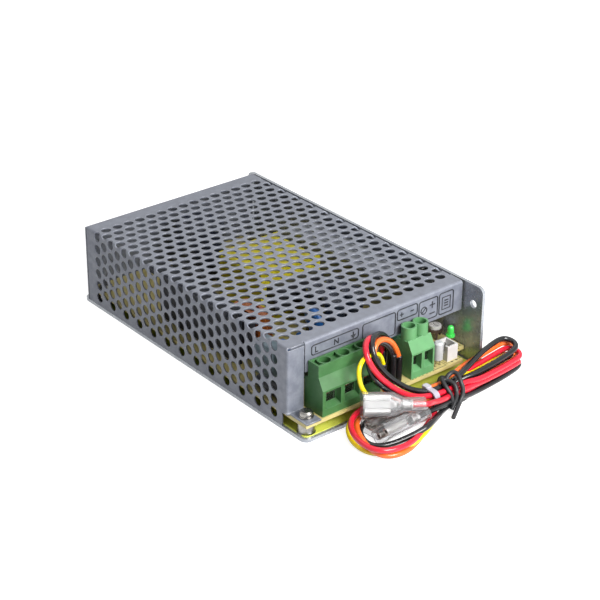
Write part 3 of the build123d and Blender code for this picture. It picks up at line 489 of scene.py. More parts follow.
wireLooks = {
    "redVinyl": {"colour": "d81c34", "second": "c2142a", "rough": (0.16, 0.28)},
    "blackVinyl": {"colour": "16171a", "second": "0e0f11", "rough": (0.16, 0.28)},
    "orangeVinyl": {"colour": "ef7230", "second": "e2601f", "rough": (0.18, 0.3)},
    "yellowVinyl": {"colour": "f2dc10", "second": "e4cb04", "rough": (0.18, 0.3)},
}
vinylSurface = {"mottle": 90.0, "grain": 900.0, "bump": 0.25, "depth": 0.05, "coat": 0.15}
wireFinish = {name: finish(name, {**look, **vinylSurface}) for name, look in wireLooks.items()}

hank = {
    "waistStops": (8.5, 14.0, 19.5, 25.0),
    "slots": {
        "topFar": (88.6, 8.4), "topMid": (91.0, 8.8), "topNear": (93.3, 7.9),
        "highFar": (87.0, 6.2), "highIn": (89.5, 6.3), "highMid": (91.9, 6.4), "highNear": (94.9, 6.0),
        "lowIn": (89.1, 4.0), "lowMid": (91.4, 4.1), "lowOut": (93.6, 3.8),
        "lowNear": (95.9, 3.8), "floorFar": (87.9, 1.8), "floorIn": (90.3, 1.8), "floorMid": (92.7, 1.5),
        "floorNear": (95.0, 1.7),
    },
    "rightCentre": (88.9, 42.5),
    "rightTurn": 9.5,
    "rightStops": (-11.0, -3.0, 5.0, 12.5),
    "foldAngles": (0, 36, 72, 108, 144, 180),
}


def waistRun(slotName, heading, first=0, last=4):
    x, z = hank["slots"][slotName]
    points = [(x, y, z) for y in hank["waistStops"][first:last]]
    return points if heading > 0 else points[::-1]


def rightLoop(out, back, reach, heights):
    # out along one side of the right lobe, round its fold and back; offsets run across the lobe
    turn = radians(hank["rightTurn"])
    along, across = (-sin(turn), cos(turn)), (cos(turn), sin(turn))
    cx, cy = hank["rightCentre"]
    middle, radius = (out[1] + back[0]) / 2, (out[1] - back[0]) / 2
    stops = hank["rightStops"]
    ease = [sin(pi / 2 * i / (len(stops) - 1)) for i in range(len(stops))]
    local = [(u, out[0] + (out[1] - out[0]) * e) for u, e in zip(stops, ease)]
    for angle in hank["foldAngles"]:
        a = radians(angle)
        local.append((reach - abs(radius) * (1 - sin(a)), middle + radius * cos(a)))
    local += [(u, back[1] + (back[0] - back[1]) * e) for u, e in reversed(list(zip(stops, ease)))]
    points = []
    for i, (u, v) in enumerate(local):
        place = i / (len(local) - 1) * (len(heights) - 1)
        low = min(int(place), len(heights) - 2)
        z = heights[low] + (heights[low + 1] - heights[low]) * (place - low)
        points.append((cx + along[0] * u + across[0] * v, cy + along[1] * u + across[1] * v, z))
    return points


leads = {
    "redLead": {
        "nodes": ("red_lead", "red_tail"),
        "finish": "redVinyl",
        "slot": "red_wire",
        "diameter": 2.4,
        "ends": "connector",
        "points": [
            (71.4, -1, 18.2), (71.4, -1.4, 25.0), (72.8, -8.6, 32.4), (78.0, -17.0, 34.6), (82.6, -20.2, 31.0),
            (85.2, -17.8, 24.4), (87.4, -13.4, 18.8), (89.6, -7.6, 13.4), (91.4, -0.4, 9.2),
        ]
        + waistRun("topNear", 1)
        + rightLoop((3.7, 4.6), (-2.8, -3.6), 19.8, (7.2, 6.3, 6.6, 7.6, 8.2, 7.8))
        + waistRun("highFar", -1)
        + [
            (85.6, 1.0, 6.6), (84.2, -7.0, 7.4), (83.2, -14.5, 8.4), (83.4, -21.9, 8.4), (84.2, -27.6, 7.6),
            (87.0, -31.9, 6.6), (92.9, -35.3, 6.0), (99.4, -36.8, 5.8), (105.0, -36.1, 5.6), (108.5, -32.9, 5.2),
            (109.9, -27.5, 4.8), (109.5, -21.0, 4.2), (107.4, -14.2, 3.7), (103.7, -6.6, 3.5),
            (100.4, -0.4, 3.5), (96.9, 5.0, 3.3),
        ]
        + waistRun("lowOut", 1)
        + rightLoop((1.4, 1.0), (4.7, 3.2), 17.6, (2.2, 1.6, 2.4, 4.0, 4.3, 4.9))
        + waistRun("highNear", -1, 1)
        + [
            (96.7, 11.6, 7.1), (97.9, 7.0, 8.1), (98.6, 2.4, 9.3), (100.3, -1.8, 11.0), (100.1, -4.1, 11.5),
            (96.7, -9.6, 11.9),
        ],
    },
    "blackLead": {
        "nodes": ("black_lead", "black_tail"),
        "finish": "blackVinyl",
        "slot": "black_wire",
        "diameter": 2.4,
        "ends": "connector",
        "points": [
            (71.4, 3.4, 18.2), (71.4, 3.0, 24.6), (72.4, -3.0, 32.0), (76.4, -11.8, 34.4), (80.2, -15.2, 31.0),
            (82.6, -13.6, 25.0), (84.8, -10.6, 20.2), (86.6, -6.4, 15.8), (88.2, -0.6, 11.4), (89.9, 4.8, 9.4),
        ]
        + waistRun("topMid", 1, 0, 3)
        + [(90.4, 25.0, 10.3)]
        + rightLoop((-2.0, -5.0), (2.6, 1.0), 19.4, (11.4, 12.2, 11.6, 10.4, 9.2, 8.6))
        + [(90.6, 25.0, 8.0)]
        + waistRun("highIn", -1, 0, 3)
        + [
            (88.0, 2.2, 5.0), (85.6, -5.0, 2.8), (83.8, -13.0, 2.0), (83.8, -20.5, 1.9), (86.2, -25.8, 1.9),
            (90.2, -28.9, 1.9), (94.8, -30.7, 1.9), (98.6, -30.6, 1.9), (101.4, -27.9, 1.9), (103.2, -23.0, 2.2),
            (104.6, -17.8, 3.2), (106.0, -13.1, 4.6), (106.6, -8.2, 5.8), (104.4, -2.6, 5.6), (101.2, 3.0, 4.2),
            (98.0, 7.4, 2.4),
        ]
        + waistRun("floorNear", 1, 1)
        + rightLoop((-0.8, -1.0), (4.9, 3.3), 18.6, (1.6, 1.5, 2.8, 3.0, 1.8, 1.6))
        + [(95.4, 25.0, 2.6)]
        + waistRun("lowNear", -1, 1, 3)
        + [(97.6, 9.0, 5.0), (98.7, 4.2, 6.0), (98.9, 0.1, 6.2), (99.2, -8.7, 6.2)],
    },
    "orangeLead": {
        "nodes": ("orange_lead", "orange_tail"),
        "finish": "orangeVinyl",
        "slot": "orange_wire",
        "diameter": 2.4,
        "ends": "connector",
        "points": [
            (74.6, 4.9, 18.2), (74.6, 3.6, 22.6), (74.8, -0.4, 28.4), (76.2, -7.4, 32.0), (78.0, -12.2, 30.4),
            (79.4, -13.2, 25.6), (81.4, -13.0, 21.8), (83.6, -13.2, 17.8), (85.8, -12.6, 14.4),
            (87.8, -10.0, 11.2), (89.8, -6.4, 9.2), (91.3, -0.4, 7.6),
        ]
        + waistRun("highMid", 1)
        + rightLoop((0.4, 1.0), (-5.6, -5.2), 21.0, (4.6, 4.2, 6.0, 8.4, 9.2, 9.8))
        + [(87.4, 25.0, 9.7)]
        + waistRun("topFar", -1, 0, 3)
        + [
            (87.2, 2.0, 7.4), (85.4, -5.5, 5.4), (83.2, -13.0, 5.0), (82.3, -20.5, 5.0), (84.2, -25.8, 4.6),
            (88.6, -29.7, 4.2), (94.2, -32.3, 3.8), (99.9, -33.7, 3.2), (105.0, -33.6, 2.6), (108.6, -30.8, 2.0),
            (109.8, -25.5, 1.6), (109.2, -19.8, 1.4), (106.7, -13.3, 1.3), (103.3, -6.2, 1.3), (99.0, 0.4, 1.3),
            (94.2, 5.0, 1.4),
        ]
        + waistRun("floorIn", 1)
        + rightLoop((-3.0, -2.5), (-5.6, -5.1), 19.6, (1.6, 1.4, 2.2, 3.4, 3.8, 4.0))
        + waistRun("lowIn", -1)
        + [(89.0, 4.6, 3.2), (88.9, 1.6, 2.8), (89.3, -6.2, 3.2)],
    },
    "secondBlackLead": {
        "nodes": ("second_black_lead",),
        "finish": "blackVinyl",
        "slot": "black_wire",
        "diameter": 2.4,
        "ends": "bare",
        "points": [
            (75, 1.2, 18.2), (75, 1.0, 22.4), (75.2, -3.4, 28.2), (76.4, -10.0, 31.6), (78.6, -15.2, 29.2),
            (80.4, -17.0, 24.8), (82.8, -17.0, 21.6), (85.4, -15.6, 18.4), (87.8, -12.0, 14.6),
            (89.8, -6.6, 10.8), (91.0, -0.2, 7.6),
        ]
        + waistRun("lowMid", 1)
        + rightLoop((-0.6, 0.7), (-2.8, -3.1), 18.0, (6.4, 6.4, 5.2, 3.8, 3.4, 3.0))
        + waistRun("floorFar", -1)[:3],
    },
    "yellowLead": {
        "nodes": ("yellow_lead",),
        "finish": "yellowVinyl",
        "slot": "yellow_wire",
        "diameter": 1.9,
        "ends": "bare",
        "points": [
            (74.8, -3.8, 18.2), (74.8, -4.4, 20.8), (75.8, -7.2, 25.0), (78.6, -12.8, 27.6), (81.0, -20.0, 30.0),
            (83.0, -24.6, 27.6), (84.2, -25.0, 22.4), (84.8, -23.6, 18.2), (84.6, -20.6, 14.0), (83.4, -19.4, 9.8),
            (82.0, -21.4, 6.2), (81.5, -25.4, 4.2), (82.4, -28.6, 2.8), (85.0, -31.3, 2.0),
            (90.0, -33.9, 1.4), (95.7, -34.9, 1.1), (101.1, -34.2, 1.1),
            (105.4, -30.6, 1.2), (107.6, -25.2, 1.6), (108.7, -19.6, 2.4), (108.2, -14.4, 3.0),
            (105.9, -7.9, 3.0), (102.2, -1.2, 2.5), (98.0, 4.6, 1.6),
        ]
        + waistRun("floorMid", 1)
        + rightLoop((-4.6, -5.2), (-1.6, -3.3), 21.6, (1.4, 1.1, 2.6, 4.4, 6.2, 7.4))
        + [(89.6, 25.0, 8.2), (90.0, 20.4, 9.2)],
    },
}


leadPieces = {
    name: roundCord(name, look["points"], look["diameter"] / 2, wireFinish[look["finish"]])
    for name, look in leads.items()
}
for name, look in leads.items():
    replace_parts(leadPieces[name], *look["nodes"])
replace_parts(leadPieces["redLead"], "lead_hank")
for name, piece in leadPieces.items():
    print(name, "runs", round(piece.data.splines[0].calc_length(), 4), "m")
print("leads laid")

coverLooks = {
    "colour": "7d818b",
    "second": "6c707c",
    "mottle": 260.0,
    "grain": 2600.0,
    "rough": (0.4, 0.54),
    "metal": 0.22,
    "bump": 0.25,
    "depth": 0.02,
    # pale colour painted along edges and fold lines as a highlight
    "edgeHighlight": ("dfe2e6", 0.25, 0.75),
    "dust": 0.1,
}
coverSheet = {
    "front": 68.2,
    "rear": -76.0,
    "left": -48.5,
    "right": 46.7,
    "top": 38.0,
    "sheet": 0.8,
    "fold": 1.2,
    "foot": 1.5,
    "board": 7.7,
    "flangeFoot": 24.4,
    "flangeSpan": (-39.6, 46.2),
    "cornerEnd": -40.1,
    "tabReach": 79.2,
    "tabHole": (74.0, -43.6, 1.6),
    "turnDown": (-68.0, 60.2, 7.5),
    "holePitch": 6.05,
    "holeRadius": 2.25,
    "holeSides": 24,
    "columns": 25,
    "fieldX": -3.45,
    "fieldY": -1.05,
    "topRows": 15,
    "wallRows": 6,
    "rim": 0.08,
    "slit": 0.1,
    "relief": 0.3,
    "lipRelief": 0.5,
    "split": 0.2,
    "notch": (1.1, 0.7),
    "post": 2.3,
    "weld": 0.0005,
    "foldSteps": 4,
    "cutSlack": 0.0002,
    "slack": 0.01,
}
foldRadius = coverSheet["fold"] - coverSheet["sheet"] / 2
foldArc = foldRadius * pi / 2
folds = {
    "front": coverSheet["front"] - coverSheet["fold"],
    "rear": coverSheet["rear"] + coverSheet["fold"],
    "left": coverSheet["left"] + coverSheet["fold"],
    "right": coverSheet["right"] - coverSheet["fold"],
}
folds["tab"] = folds["left"] - foldArc - (coverSheet["top"] - 2 * coverSheet["fold"] - coverSheet["board"])


def coverOutline():
    # the blank's edge, with short reliefs where two folds meet
    c, a = coverSheet, foldArc
    front, rear, left, right = folds["front"], folds["rear"], folds["left"], folds["right"]
    under = c["top"] - c["fold"]
    wallEnd = left - a - (under - c["foot"])
    boardEnd = left - a - (under - c["board"])
    tabEnd = folds["tab"] - a - (c["tabReach"] - c["front"] - c["sheet"] / 2)
    rearEnd = rear - a - (under - c["foot"])
    flangeEnd = front + a + (under - c["flangeFoot"])
    lipStart, lipEnd, lipDrop = c["turnDown"]
    lip = right + a + (lipDrop - c["fold"])
    cornerSide = front + a + (c["cornerEnd"] - left)
    slit, relief, split = c["slit"], c["relief"], c["split"]
    notchX, notchY = front + c["notch"][0], left + c["notch"][1]
    post, flangeLeft, flangeRight = front - c["post"], *c["flangeSpan"]
    rearSide, farSide = c["left"] + slit, c["right"] - relief
    lipBefore, lipAfter = lipStart - c["lipRelief"], lipEnd + c["lipRelief"]
    return [
        (rearEnd, rearSide), (rear - relief, rearSide), (rear - relief, left), (rear + slit, left),
        (rear + slit, wallEnd), (post, wallEnd), (post, boardEnd), (front + a, boardEnd),
        (front + a, tabEnd), (cornerSide, tabEnd), (cornerSide, left - a), (front + relief, left - a),
        (front + relief, left - slit), (notchX, notchY), (notchX, c["cornerEnd"]),
        (front - split, c["cornerEnd"]), (front - split, flangeLeft), (flangeEnd, flangeLeft),
        (flangeEnd, flangeRight), (front, flangeRight), (lipAfter, farSide), (lipAfter, right),
        (lipEnd, right), (lipEnd, lip), (lipStart, lip), (lipStart, right), (lipBefore, right),
        (lipBefore, farSide), (rear - relief, farSide), (rearEnd, farSide),
    ]


def holeCentres():
    # staggered columns that run on from the top down the left wall
    c = coverSheet
    step = c["holePitch"] * sqrt(3) / 2
    centres = []
    for column in range(c["columns"]):
        x = c["fieldX"] + (column - (c["columns"] - 1) / 2) * step
        shifted = column % 2
        topRows = c["topRows"] + shifted
        first = c["fieldY"] + (topRows - 1) / 2 * c["holePitch"]
        for row in range(topRows + c["wallRows"] - shifted):
            centres.append((x, first - row * c["holePitch"]))
    return centres


def bendDown(point, axis, start, sign):
    # turns what lies beyond start along the axis by a right angle
    beyond = (point[axis] - start) * sign
    if beyond <= 0:
        return
    angle = min(beyond / foldRadius, pi / 2)
    rest = max(beyond - foldArc, 0)
    reach = foldRadius + point.z
    point[axis] = start + sign * reach * sin(angle)
    point.z = reach * cos(angle) - foldRadius - rest


def bendUp(point, axis, start, sign):
    point.z = -point.z
    bendDown(point, axis, start, sign)
    point.z = -point.z


def foldedPoint(flat):
    c, slack = coverSheet, coverSheet["slack"]
    point = flat.copy()
    if point.y < folds["left"] - foldArc + slack:
        if point.x > folds["front"]:
            bendUp(point, 1, folds["tab"], -1)
            bendDown(point, 0, folds["front"], 1)
        bendDown(point, 1, folds["left"], -1)
    elif point.x > folds["front"] and point.y > c["cornerEnd"] + c["split"]:
        bendDown(point, 0, folds["front"], 1)
    elif point.x < folds["rear"]:
        bendDown(point, 0, folds["rear"], -1)
    elif point.y < folds["left"]:
        bendDown(point, 1, folds["left"], -1)
    elif point.y > folds["right"] and c["turnDown"][0] - slack <= point.x <= c["turnDown"][1] + slack:
        bendDown(point, 1, folds["right"], 1)
    point.z += c["top"] - c["sheet"] / 2
    return point


def cutBlank():
    # the flat sheet with all its holes, as one filled curve
    c = coverSheet
    data = bpy.data.curves.new("coverBlank", "CURVE")
    data.dimensions = "2D"
    data.fill_mode = "BOTH"
    data.extrude = c["sheet"] / 2 - c["rim"]
    data.bevel_depth = c["rim"]
    data.bevel_resolution = 0
    data.offset = -c["rim"]
    holes = [(x, y, c["holeRadius"]) for x, y in holeCentres()]
    tabX, tabY, tabRadius = c["tabHole"]
    past = tabX - c["front"] - c["sheet"] / 2
    holes.append((folds["front"] + foldArc + tabY - folds["left"], folds["tab"] - foldArc - past, tabRadius))
    addPolyline(data, [(x, y, 0) for x, y in coverOutline()])
    for x, y, radius in holes:
        addPolyline(data, flatRing(x, y, 0, radius, c["holeSides"]))
    blank = bpy.data.objects.new("coverBlank", data)
    bpy.context.collection.objects.link(blank)
    sheet = bpy.data.meshes.new_from_object(blank)
    bpy.data.objects.remove(blank)
    sheet.name = "coverSheet"
    sheet.materials.clear()
    return sheet


def foldCover():
    c = coverSheet
    sheet = cutBlank()
    work = bmesh.new()
    work.from_mesh(sheet)
    bmesh.ops.remove_doubles(work, verts=work.verts, dist=c["weld"])
    bends = [
        (0, folds["front"], 1), (0, folds["rear"], -1), (1, folds["left"], -1),
        (1, folds["right"], 1), (1, folds["tab"], -1),
    ]
    for axis, start, sign in bends:
        normal = Vector((1, 0, 0)) if axis == 0 else Vector((0, 1, 0))
        for part in range(c["foldSteps"] + 1):
            place = normal * (start + sign * foldArc * part / c["foldSteps"])
            geometry = work.verts[:] + work.edges[:] + work.faces[:]
            bmesh.ops.bisect_plane(work, geom=geometry, plane_co=place, plane_no=normal, dist=c["cutSlack"])
    for vertex in work.verts:
        vertex.co = foldedPoint(vertex.co) * mm
    bmesh.ops.recalc_face_normals(work, faces=work.faces)
    work.to_mesh(sheet)
    work.free()
    piece = addPiece("coverSheet", sheet, finish("galvanisedCover", coverLooks))
    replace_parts(piece, "cover")
    print("cover folded,", len(sheet.polygons), "faces")


foldCover()

labels = {
    "ink": {"colour": "141619", "second": "35383e", "rough": (0.5, 0.7), "grain": 3000.0},
    "lift": 0.04,
    "weight": 0.1,
    "line": 0.3,
    "corner": 1.1,
    "frames": [
        (-36.4, -11.9, 31.0, 35.3), (-9.6, 8.2, 25.5, 35.7), (9.3, 20.4, 31.1, 35.9),
        (21.4, 31.9, 26.2, 35.5), (32.9, 40.9, 26.0, 35.8),
    ],
    "earth": {
        "centre": (-14.6, 33.0),
        "bars": [(0, 1.5, 0, -0.1), (-1.3, -0.1, 1.3, -0.1), (-0.8, -0.7, 0.8, -0.7), (-0.3, -1.3, 0.3, -1.3)],
    },
    "adjust": {
        "centre": (24.2, 31.0),
        "radius": 1.6,
        "lines": [
            ((23.3, 30.1), (25.1, 31.9)), ((27.4, 32.4), (30.4, 32.4)),
            ((28.9, 30.9), (28.9, 33.9)), ((27.4, 28.4), (30.4, 28.4)),
        ],
    },
    "plug": {
        "box": [(34.6, 28.0), (39.2, 28.0), (39.2, 33.6), (34.6, 33.6)],
        "lines": [((35.8, z), (38.0, z)) for z in (29.6, 30.8, 32.0)],
    },
    "words": [
        ("L", -34.8, 31.8, 3.6), ("N", -24.9, 31.8, 3.6), ("+", 10.6, 32.0, 3.8), ("−", 16.4, 32.0, 3.8),
    ],
}


def framePath(y0, y1, z0, z1, radius):
    corners = [(y1 - radius, z1 - radius, 0), (y0 + radius, z1 - radius, 90),
               (y0 + radius, z0 + radius, 180), (y1 - radius, z0 + radius, 270)]
    path = []
    for y, z, first in corners:
        for step in range(6):
            t = radians(first + 18 * step)
            path.append((y + radius * cos(t), z + radius * sin(t)))
    return path


def labelStrokes():
    earth, adjust, plug = labels["earth"], labels["adjust"], labels["plug"]
    strokes = [(framePath(*box, labels["corner"]), True) for box in labels["frames"]]
    y, z = earth["centre"]
    strokes += [([(y + y0, z + z0), (y + y1, z + z1)], False) for y0, z0, y1, z1 in earth["bars"]]
    dial = flatRing(*adjust["centre"], 0, adjust["radius"], 18)
    strokes.append(([point[:2] for point in dial], True))
    strokes += [(line, False) for line in adjust["lines"]]
    strokes.append((plug["box"], True))
    strokes += [(line, False) for line in plug["lines"]]
    return strokes


def printLabels():
    ink, front = finish("labelInk", labels["ink"]), coverSheet["front"]
    strokes = [([(front, y, z) for y, z in path], closed) for path, closed in labelStrokes()]
    drawStrokes("labelLines", strokes, labels["line"], 1, ink)
    for i, (text, y, z, size) in enumerate(labels["words"]):
        letters = bpy.data.curves.new(f"labelWord{i}", "FONT")
        letters.body = text
        letters.size = size * mm
        letters.extrude = labels["lift"] * mm
        letters.offset = labels["weight"] * mm
        place = (front + labels["lift"], y, z)
        addPiece(f"labelWord{i}", letters, ink, (pi / 2, 0, pi / 2), place)


printLabels()
print("labels printed")

greenSurface = {
    "mottle": 140.0, "grain": 1600.0, "rough": (0.34, 0.48), "bump": 0.3, "depth": 0.03, "dust": 0.06,
}
# each entry's edge colour is a painted highlight along its corners
slotLooks = {
    "aluminium_chassis": {
        "colour": "a9adb2", "second": "989ca3", "mottle": 180.0, "grain": 500.0, "rough": (0.2, 0.32),
        "metal": 0.6, "bump": 0.08, "edgeHighlight": ("e4e6e8", 0.3, 0.6), "dust": 0.08,
    },
    "insulation": {
        "colour": "cfd65a", "second": "c2ca4c", "mottle": 60.0, "rough": (0.25, 0.4), "grain": 700.0,
        "coat": 0.3,
    },
    "board": {
        "colour": "c6b97e", "second": "b8aa6c", "mottle": 90.0, "grain": 1500.0, "rough": (0.35, 0.55),
        "coat": 0.15, "edgeHighlight": ("d9cf9e", 0.3, 0.5),
    },
    "plated_steel": {
        "colour": "96948f", "second": "7d7b77", "mottle": 500.0, "grain": 2500.0, "rough": (0.2, 0.36),
        "metal": 1.0, "edgeHighlight": ("f2f1ee", 0.15, 0.6),
    },
    "dark_green": {"colour": "3f6d3e", "second": "376236", "edgeHighlight": ("7fb384", 0.2, 0.55), **greenSurface},
    "light_green": {"colour": "5c9460", "second": "528756", "edgeHighlight": ("9cc79f", 0.2, 0.55), **greenSurface},
    "tinned": {
        "colour": "cfcfcb", "second": "b2b2ad", "mottle": 500.0, "grain": 2500.0, "rough": (0.16, 0.32),
        "metal": 1.0, "edgeHighlight": ("f4f4f1", 0.12, 0.5),
    },
    "brown_plastic": {"colour": "3d3029", "second": "4a3a31", "rough": (0.45, 0.6)},
    "white_plastic": {
        "colour": "cbc9c7", "second": "bdbab7", "rough": (0.36, 0.52), "bump": 0.2,
        "edgeHighlight": ("ffffff", 0.15, 0.4),
    },
    "green_lens": {
        "colour": "4fdb60", "second": "3cc850", "rough": (0.12, 0.2), "coat": 0.6, "clear": 0.3,
        "glow": 0.12,
    },
    "sleeved_white": {"colour": "b6b8b8", "second": "a4a7a7", "rough": (0.2, 0.34), "coat": 0.5},
    "ferrite": {"colour": "34343a", "second": "26262b", "rough": (0.5, 0.7), "bump": 0.4},
    "yellow_tape": {
        "colour": "e7d934", "second": "cfc22a", "mottle": 200.0, "rough": (0.25, 0.4), "coat": 0.3,
        "bump": 0.3, "depth": 0.05,
    },
    "capacitor_sleeve": {
        "colour": "22262f", "second": "2b3040", "rough": (0.22, 0.34), "coat": 0.3,
        "edgeHighlight": ("9aa0aa", 0.4, 0.5),
    },
    "sink": {
        "colour": "b5b8bc", "second": "9da0a6", "mottle": 150.0, "grain": 1400.0, "rough": (0.3, 0.46),
        "metal": 0.95, "edgeHighlight": ("eef0f2", 0.3, 0.5),
    },
    "moulded_black": {"colour": "1f2023", "second": "2a2b2f", "rough": (0.45, 0.62), "bump": 0.4},
    "copper_wire": {
        "colour": "c06f38", "second": "a85a2a", "mottle": 700.0, "stretch": 0.2, "rough": (0.2, 0.35),
        "metal": 0.6, "coat": 0.4, "bump": 0.8, "depth": 0.15, "grain": 900.0,
    },
    "powder_core": {"colour": "2f5f4a", "second": "274f3e", "rough": (0.4, 0.55)},
    "film_box": {"colour": "8fa4b0", "second": "7c909c", "rough": (0.3, 0.45)},
    "blue_dip": {"colour": "2a74c8", "second": "2265b4", "rough": (0.28, 0.42), "coat": 0.3},
    "light_blue_box": {"colour": "7db4d8", "second": "6aa3c8", "rough": (0.3, 0.42)},
    "dark_dip": {"colour": "3a4a3c", "second": "2d3b30", "rough": (0.35, 0.5)},
    "fuse_sleeve": {"colour": "2c2d30", "second": "37383c", "rough": (0.3, 0.45)},
    "black_sleeve": {
        "colour": "09090b", "second": "121215", "rough": (0.26, 0.4), "bump": 0.4, "depth": 0.08,
        "grain": 700.0,
    },
    "white_nylon": {"colour": "c3bfca", "second": "b4afbc", "rough": (0.3, 0.45), "clear": 0.2},
    "black_tie": {"colour": "1b1c1e", "second": "242527", "rough": (0.35, 0.5)},
}


nodeLooks = {
    "primary_heatsink": {
        "colour": "30333a", "second": "25272d", "mottle": 150.0, "rough": (0.34, 0.5), "metal": 0.4,
        # lighter colour painted on the corners as a highlight
        "edgeHighlight": ("8d9198", 0.3, 0.5),
    },
}


def dressNodes():
    made = {name: finish(name.replace("_", "-"), look) for name, look in slotLooks.items()}
    for node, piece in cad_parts.items():
        used = {slot.material.name.split(".")[0] for slot in piece.material_slots if slot.material}
        for name in used:
            if name in made:
                dress(node, made[name])
    for node, look in nodeLooks.items():
        dress(node, finish(node.replace("_", "-"), look))
    return made


slotFinish = dressNodes()
print("solids dressed")

ties = {
    "wire": 0.95,
    "turnPoints": [
        (102.5, 10.1, 1.0), (99.8, 14.4, 1.7), (97.7, 18.8, 4.0), (97.0, 20.8, 7.4), (95.4, 20.6, 10.6),
        (92.6, 21.4, 12.8), (90.4, 20.8, 13.2), (89.8, 18.4, 12.0), (90.8, 16.8, 10.8), (88.6, 17.4, 10.8),
        (85.6, 18.0, 9.0), (84.9, 18.2, 4.6), (86.2, 18.2, 1.1), (91.0, 17.0, 1.05), (95.6, 15.4, 1.3),
        (96.9, 15.0, 3.6), (95.9, 14.8, 7.2), (93.6, 13.8, 10.0), (90.6, 14.4, 11.6), (89.6, 15.4, 11.4),
        (90.6, 16.6, 10.6), (92.4, 17.4, 10.8), (94.9, 17.9, 10.0), (96.7, 17.2, 7.4), (96.9, 16.8, 4.2),
        (97.5, 13.9, 1.0),
    ],
    "bandCentre": (91.7, 7.4, 6.1),
    "bandHalf": (3.6, 3.5),
    "bandWidth": 2.6,
    "bandThickness": 0.7,
    "bandRibs": 40,
    "bandRim": (0.35, 0.55),
    "bandPower": 3,
    "ribDepth": 0.12,
    "head": (3.4, 3.0, 2.0),
    "headShift": 0.72,
    "headLift": 0.6,
    "headEdge": 0.3,
    "headCorners": [
        (1, -0.7), (1, 0.7), (0.7, 1), (-0.7, 1), (-1, 0.7), (-1, -0.7), (-0.7, -1), (0.7, -1),
    ],
}


def makeTwistTie():
    wire = roundCord("twistTie", ties["turnPoints"], ties["wire"], slotFinish["black_tie"])
    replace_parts(wire, "twist_tie")


def makeCableTie():
    # a ribbed band round the bundle, and its head on top
    cx, cy, cz = ties["bandCentre"]
    hx, hz = ties["bandHalf"]
    w, t = ties["bandWidth"] / 2, ties["bandThickness"]
    outer, inner = ties["bandRim"]
    count, power = ties["bandRibs"] * 2, ties["bandPower"]
    vertices, faces = [], []
    for i in range(count):
        a = 2 * pi * i / count
        c, s = cos(a), sin(a)
        reach = (abs(c) ** power + abs(s) ** power) ** (-1 / power)
        low = t - ties["ribDepth"] * (i % 2)
        section = (
            (-w, 0), (-w, t), (outer - w, t), (inner - w, low),
            (w - inner, low), (w - outer, t), (w, t), (w, 0),
        )
        for y, out in section:
            vertices.append((cx + (hx + out) * c * reach, cy + y, cz + (hz + out) * s * reach))
    for i in range(count):
        for j in range(8):
            k, m = (i + 1) % count, (j + 1) % 8
            faces.append((i * 8 + j, i * 8 + m, k * 8 + m, k * 8 + j))
    nylon = slotFinish["white_nylon"]
    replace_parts(addMesh("cableTie", vertices, faces, nylon, "white_nylon"), "cable_tie")
    dx, dy, dz = (v / 2 for v in ties["head"])
    x, z, edge = cx - hx * ties["headShift"], cz + hz + t * ties["headLift"], ties["headEdge"]
    rings = [
        [(x + dx * k * u, cy + dy * k * v, z + rise) for u, v in ties["headCorners"]]
        for rise, k in ((-dz, 0.9), (edge - dz, 1.0), (dz - edge, 1.0), (dz, 0.88))
    ]
    addMesh("cableTieHead", *stackRings(rings, True, True), nylon, "white_nylon")


sleeves = {
    "radius": 1.5,
    "rib": 0.08,
    "ribStep": 0.55,
    "mouth": 1.15,
    "sides": 20,
    "places": [(71.4, -1.0, 22.6), (71.4, 3.4, 22.4), (74.6, 4.9, 19.4), (75.0, 1.2, 21.2), (74.8, -3.8, 18.6)],
}


def makeSleeves():
    parts = []
    for x, y, top in sleeves["places"]:
        rings = []
        z, odd = coverSheet["board"], 0
        while z < top:
            radius = sleeves["radius"] + sleeves["rib"] * odd
            rings.append(flatRing(x, y, z, radius, sleeves["sides"]))
            z, odd = z + sleeves["ribStep"] / 2, 1 - odd
        rings.append(flatRing(x, y, z, sleeves["mouth"], sleeves["sides"]))
        parts.append(stackRings(rings, True, False))
    rubber = slotFinish["black_sleeve"]
    piece = addMesh("leadSleeves", *mergeParts(parts), rubber, "black_sleeve", smooth=True)
    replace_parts(piece, "lead_sleeves")


# rings are given as a place along the boot and a share of the full width
boots = {
    "length": 12.6,
    "width": 9.3,
    "thickness": 5.5,
    "wall": 0.5,
    "taper": 4.0,
    "neck": 2.5,
    "neckLength": 8.6,
    "mouth": ((0.0, 1.01), (0.15, 1.04), (0.7, 1.04), (0.95, 0.99)),
    "vinyl": {
        "colour": "e9e9ea", "second": "dcdcde", "rough": (0.08, 0.16), "grain": 400.0, "bump": 0.08,
        "depth": 0.03, "clear": 0.92, "bend": 1.12, "coat": 0.3,
    },
}
receptacle = {
    "start": 0.7,
    "short": 1.4,
    "width": 7.4,
    "roll": 0.95,
    "rollSteps": 12,
    "rollTurn": 27,
    "sheet": 0.38,
    "tongue": ((0.6, 0.55), (2.2, 0.42)),
    "tongueRise": 0.35,
    "tongueColumns": (-1, -0.35, 0.35, 1),
    "barrel": 1.75,
    "barrelSpan": (-0.6, 3.4),
    "barrelSheet": 0.35,
    "tin": {
        "colour": "c2c0bc", "second": "aba9a5", "mottle": 300.0, "grain": 1500.0, "rough": (0.3, 0.42),
        # near-white colour painted on the rolled edges as a highlight
        "metal": 0.7, "edgeHighlight": ("f8f8f6", 0.12, 0.5),
    },
}


def bootFrame(origin, along, up):
    x = Vector(along).normalized()
    z = Vector(up)
    z = (z - x * z.dot(x)).normalized()
    y = z.cross(x)
    place = Matrix((x, y, z)).transposed().to_4x4()
    place.translation = Vector(origin)
    return place


bootPlaces = {
    "redBoot": bootFrame((86.7, -25.4, 13.0), (0.53, 0.846, -0.06), (0.64, -0.55, 0.54)),
    "blackBoot": bootFrame((100.05, -27.1, 6.2), (-0.0456, 0.9985, 0), (-0.741, -0.095, 0.666)),
    "orangeBoot": bootFrame((90.9, -24.4, 3.35), (-0.08, 0.9968, 0), (0, 0, 1)),
}


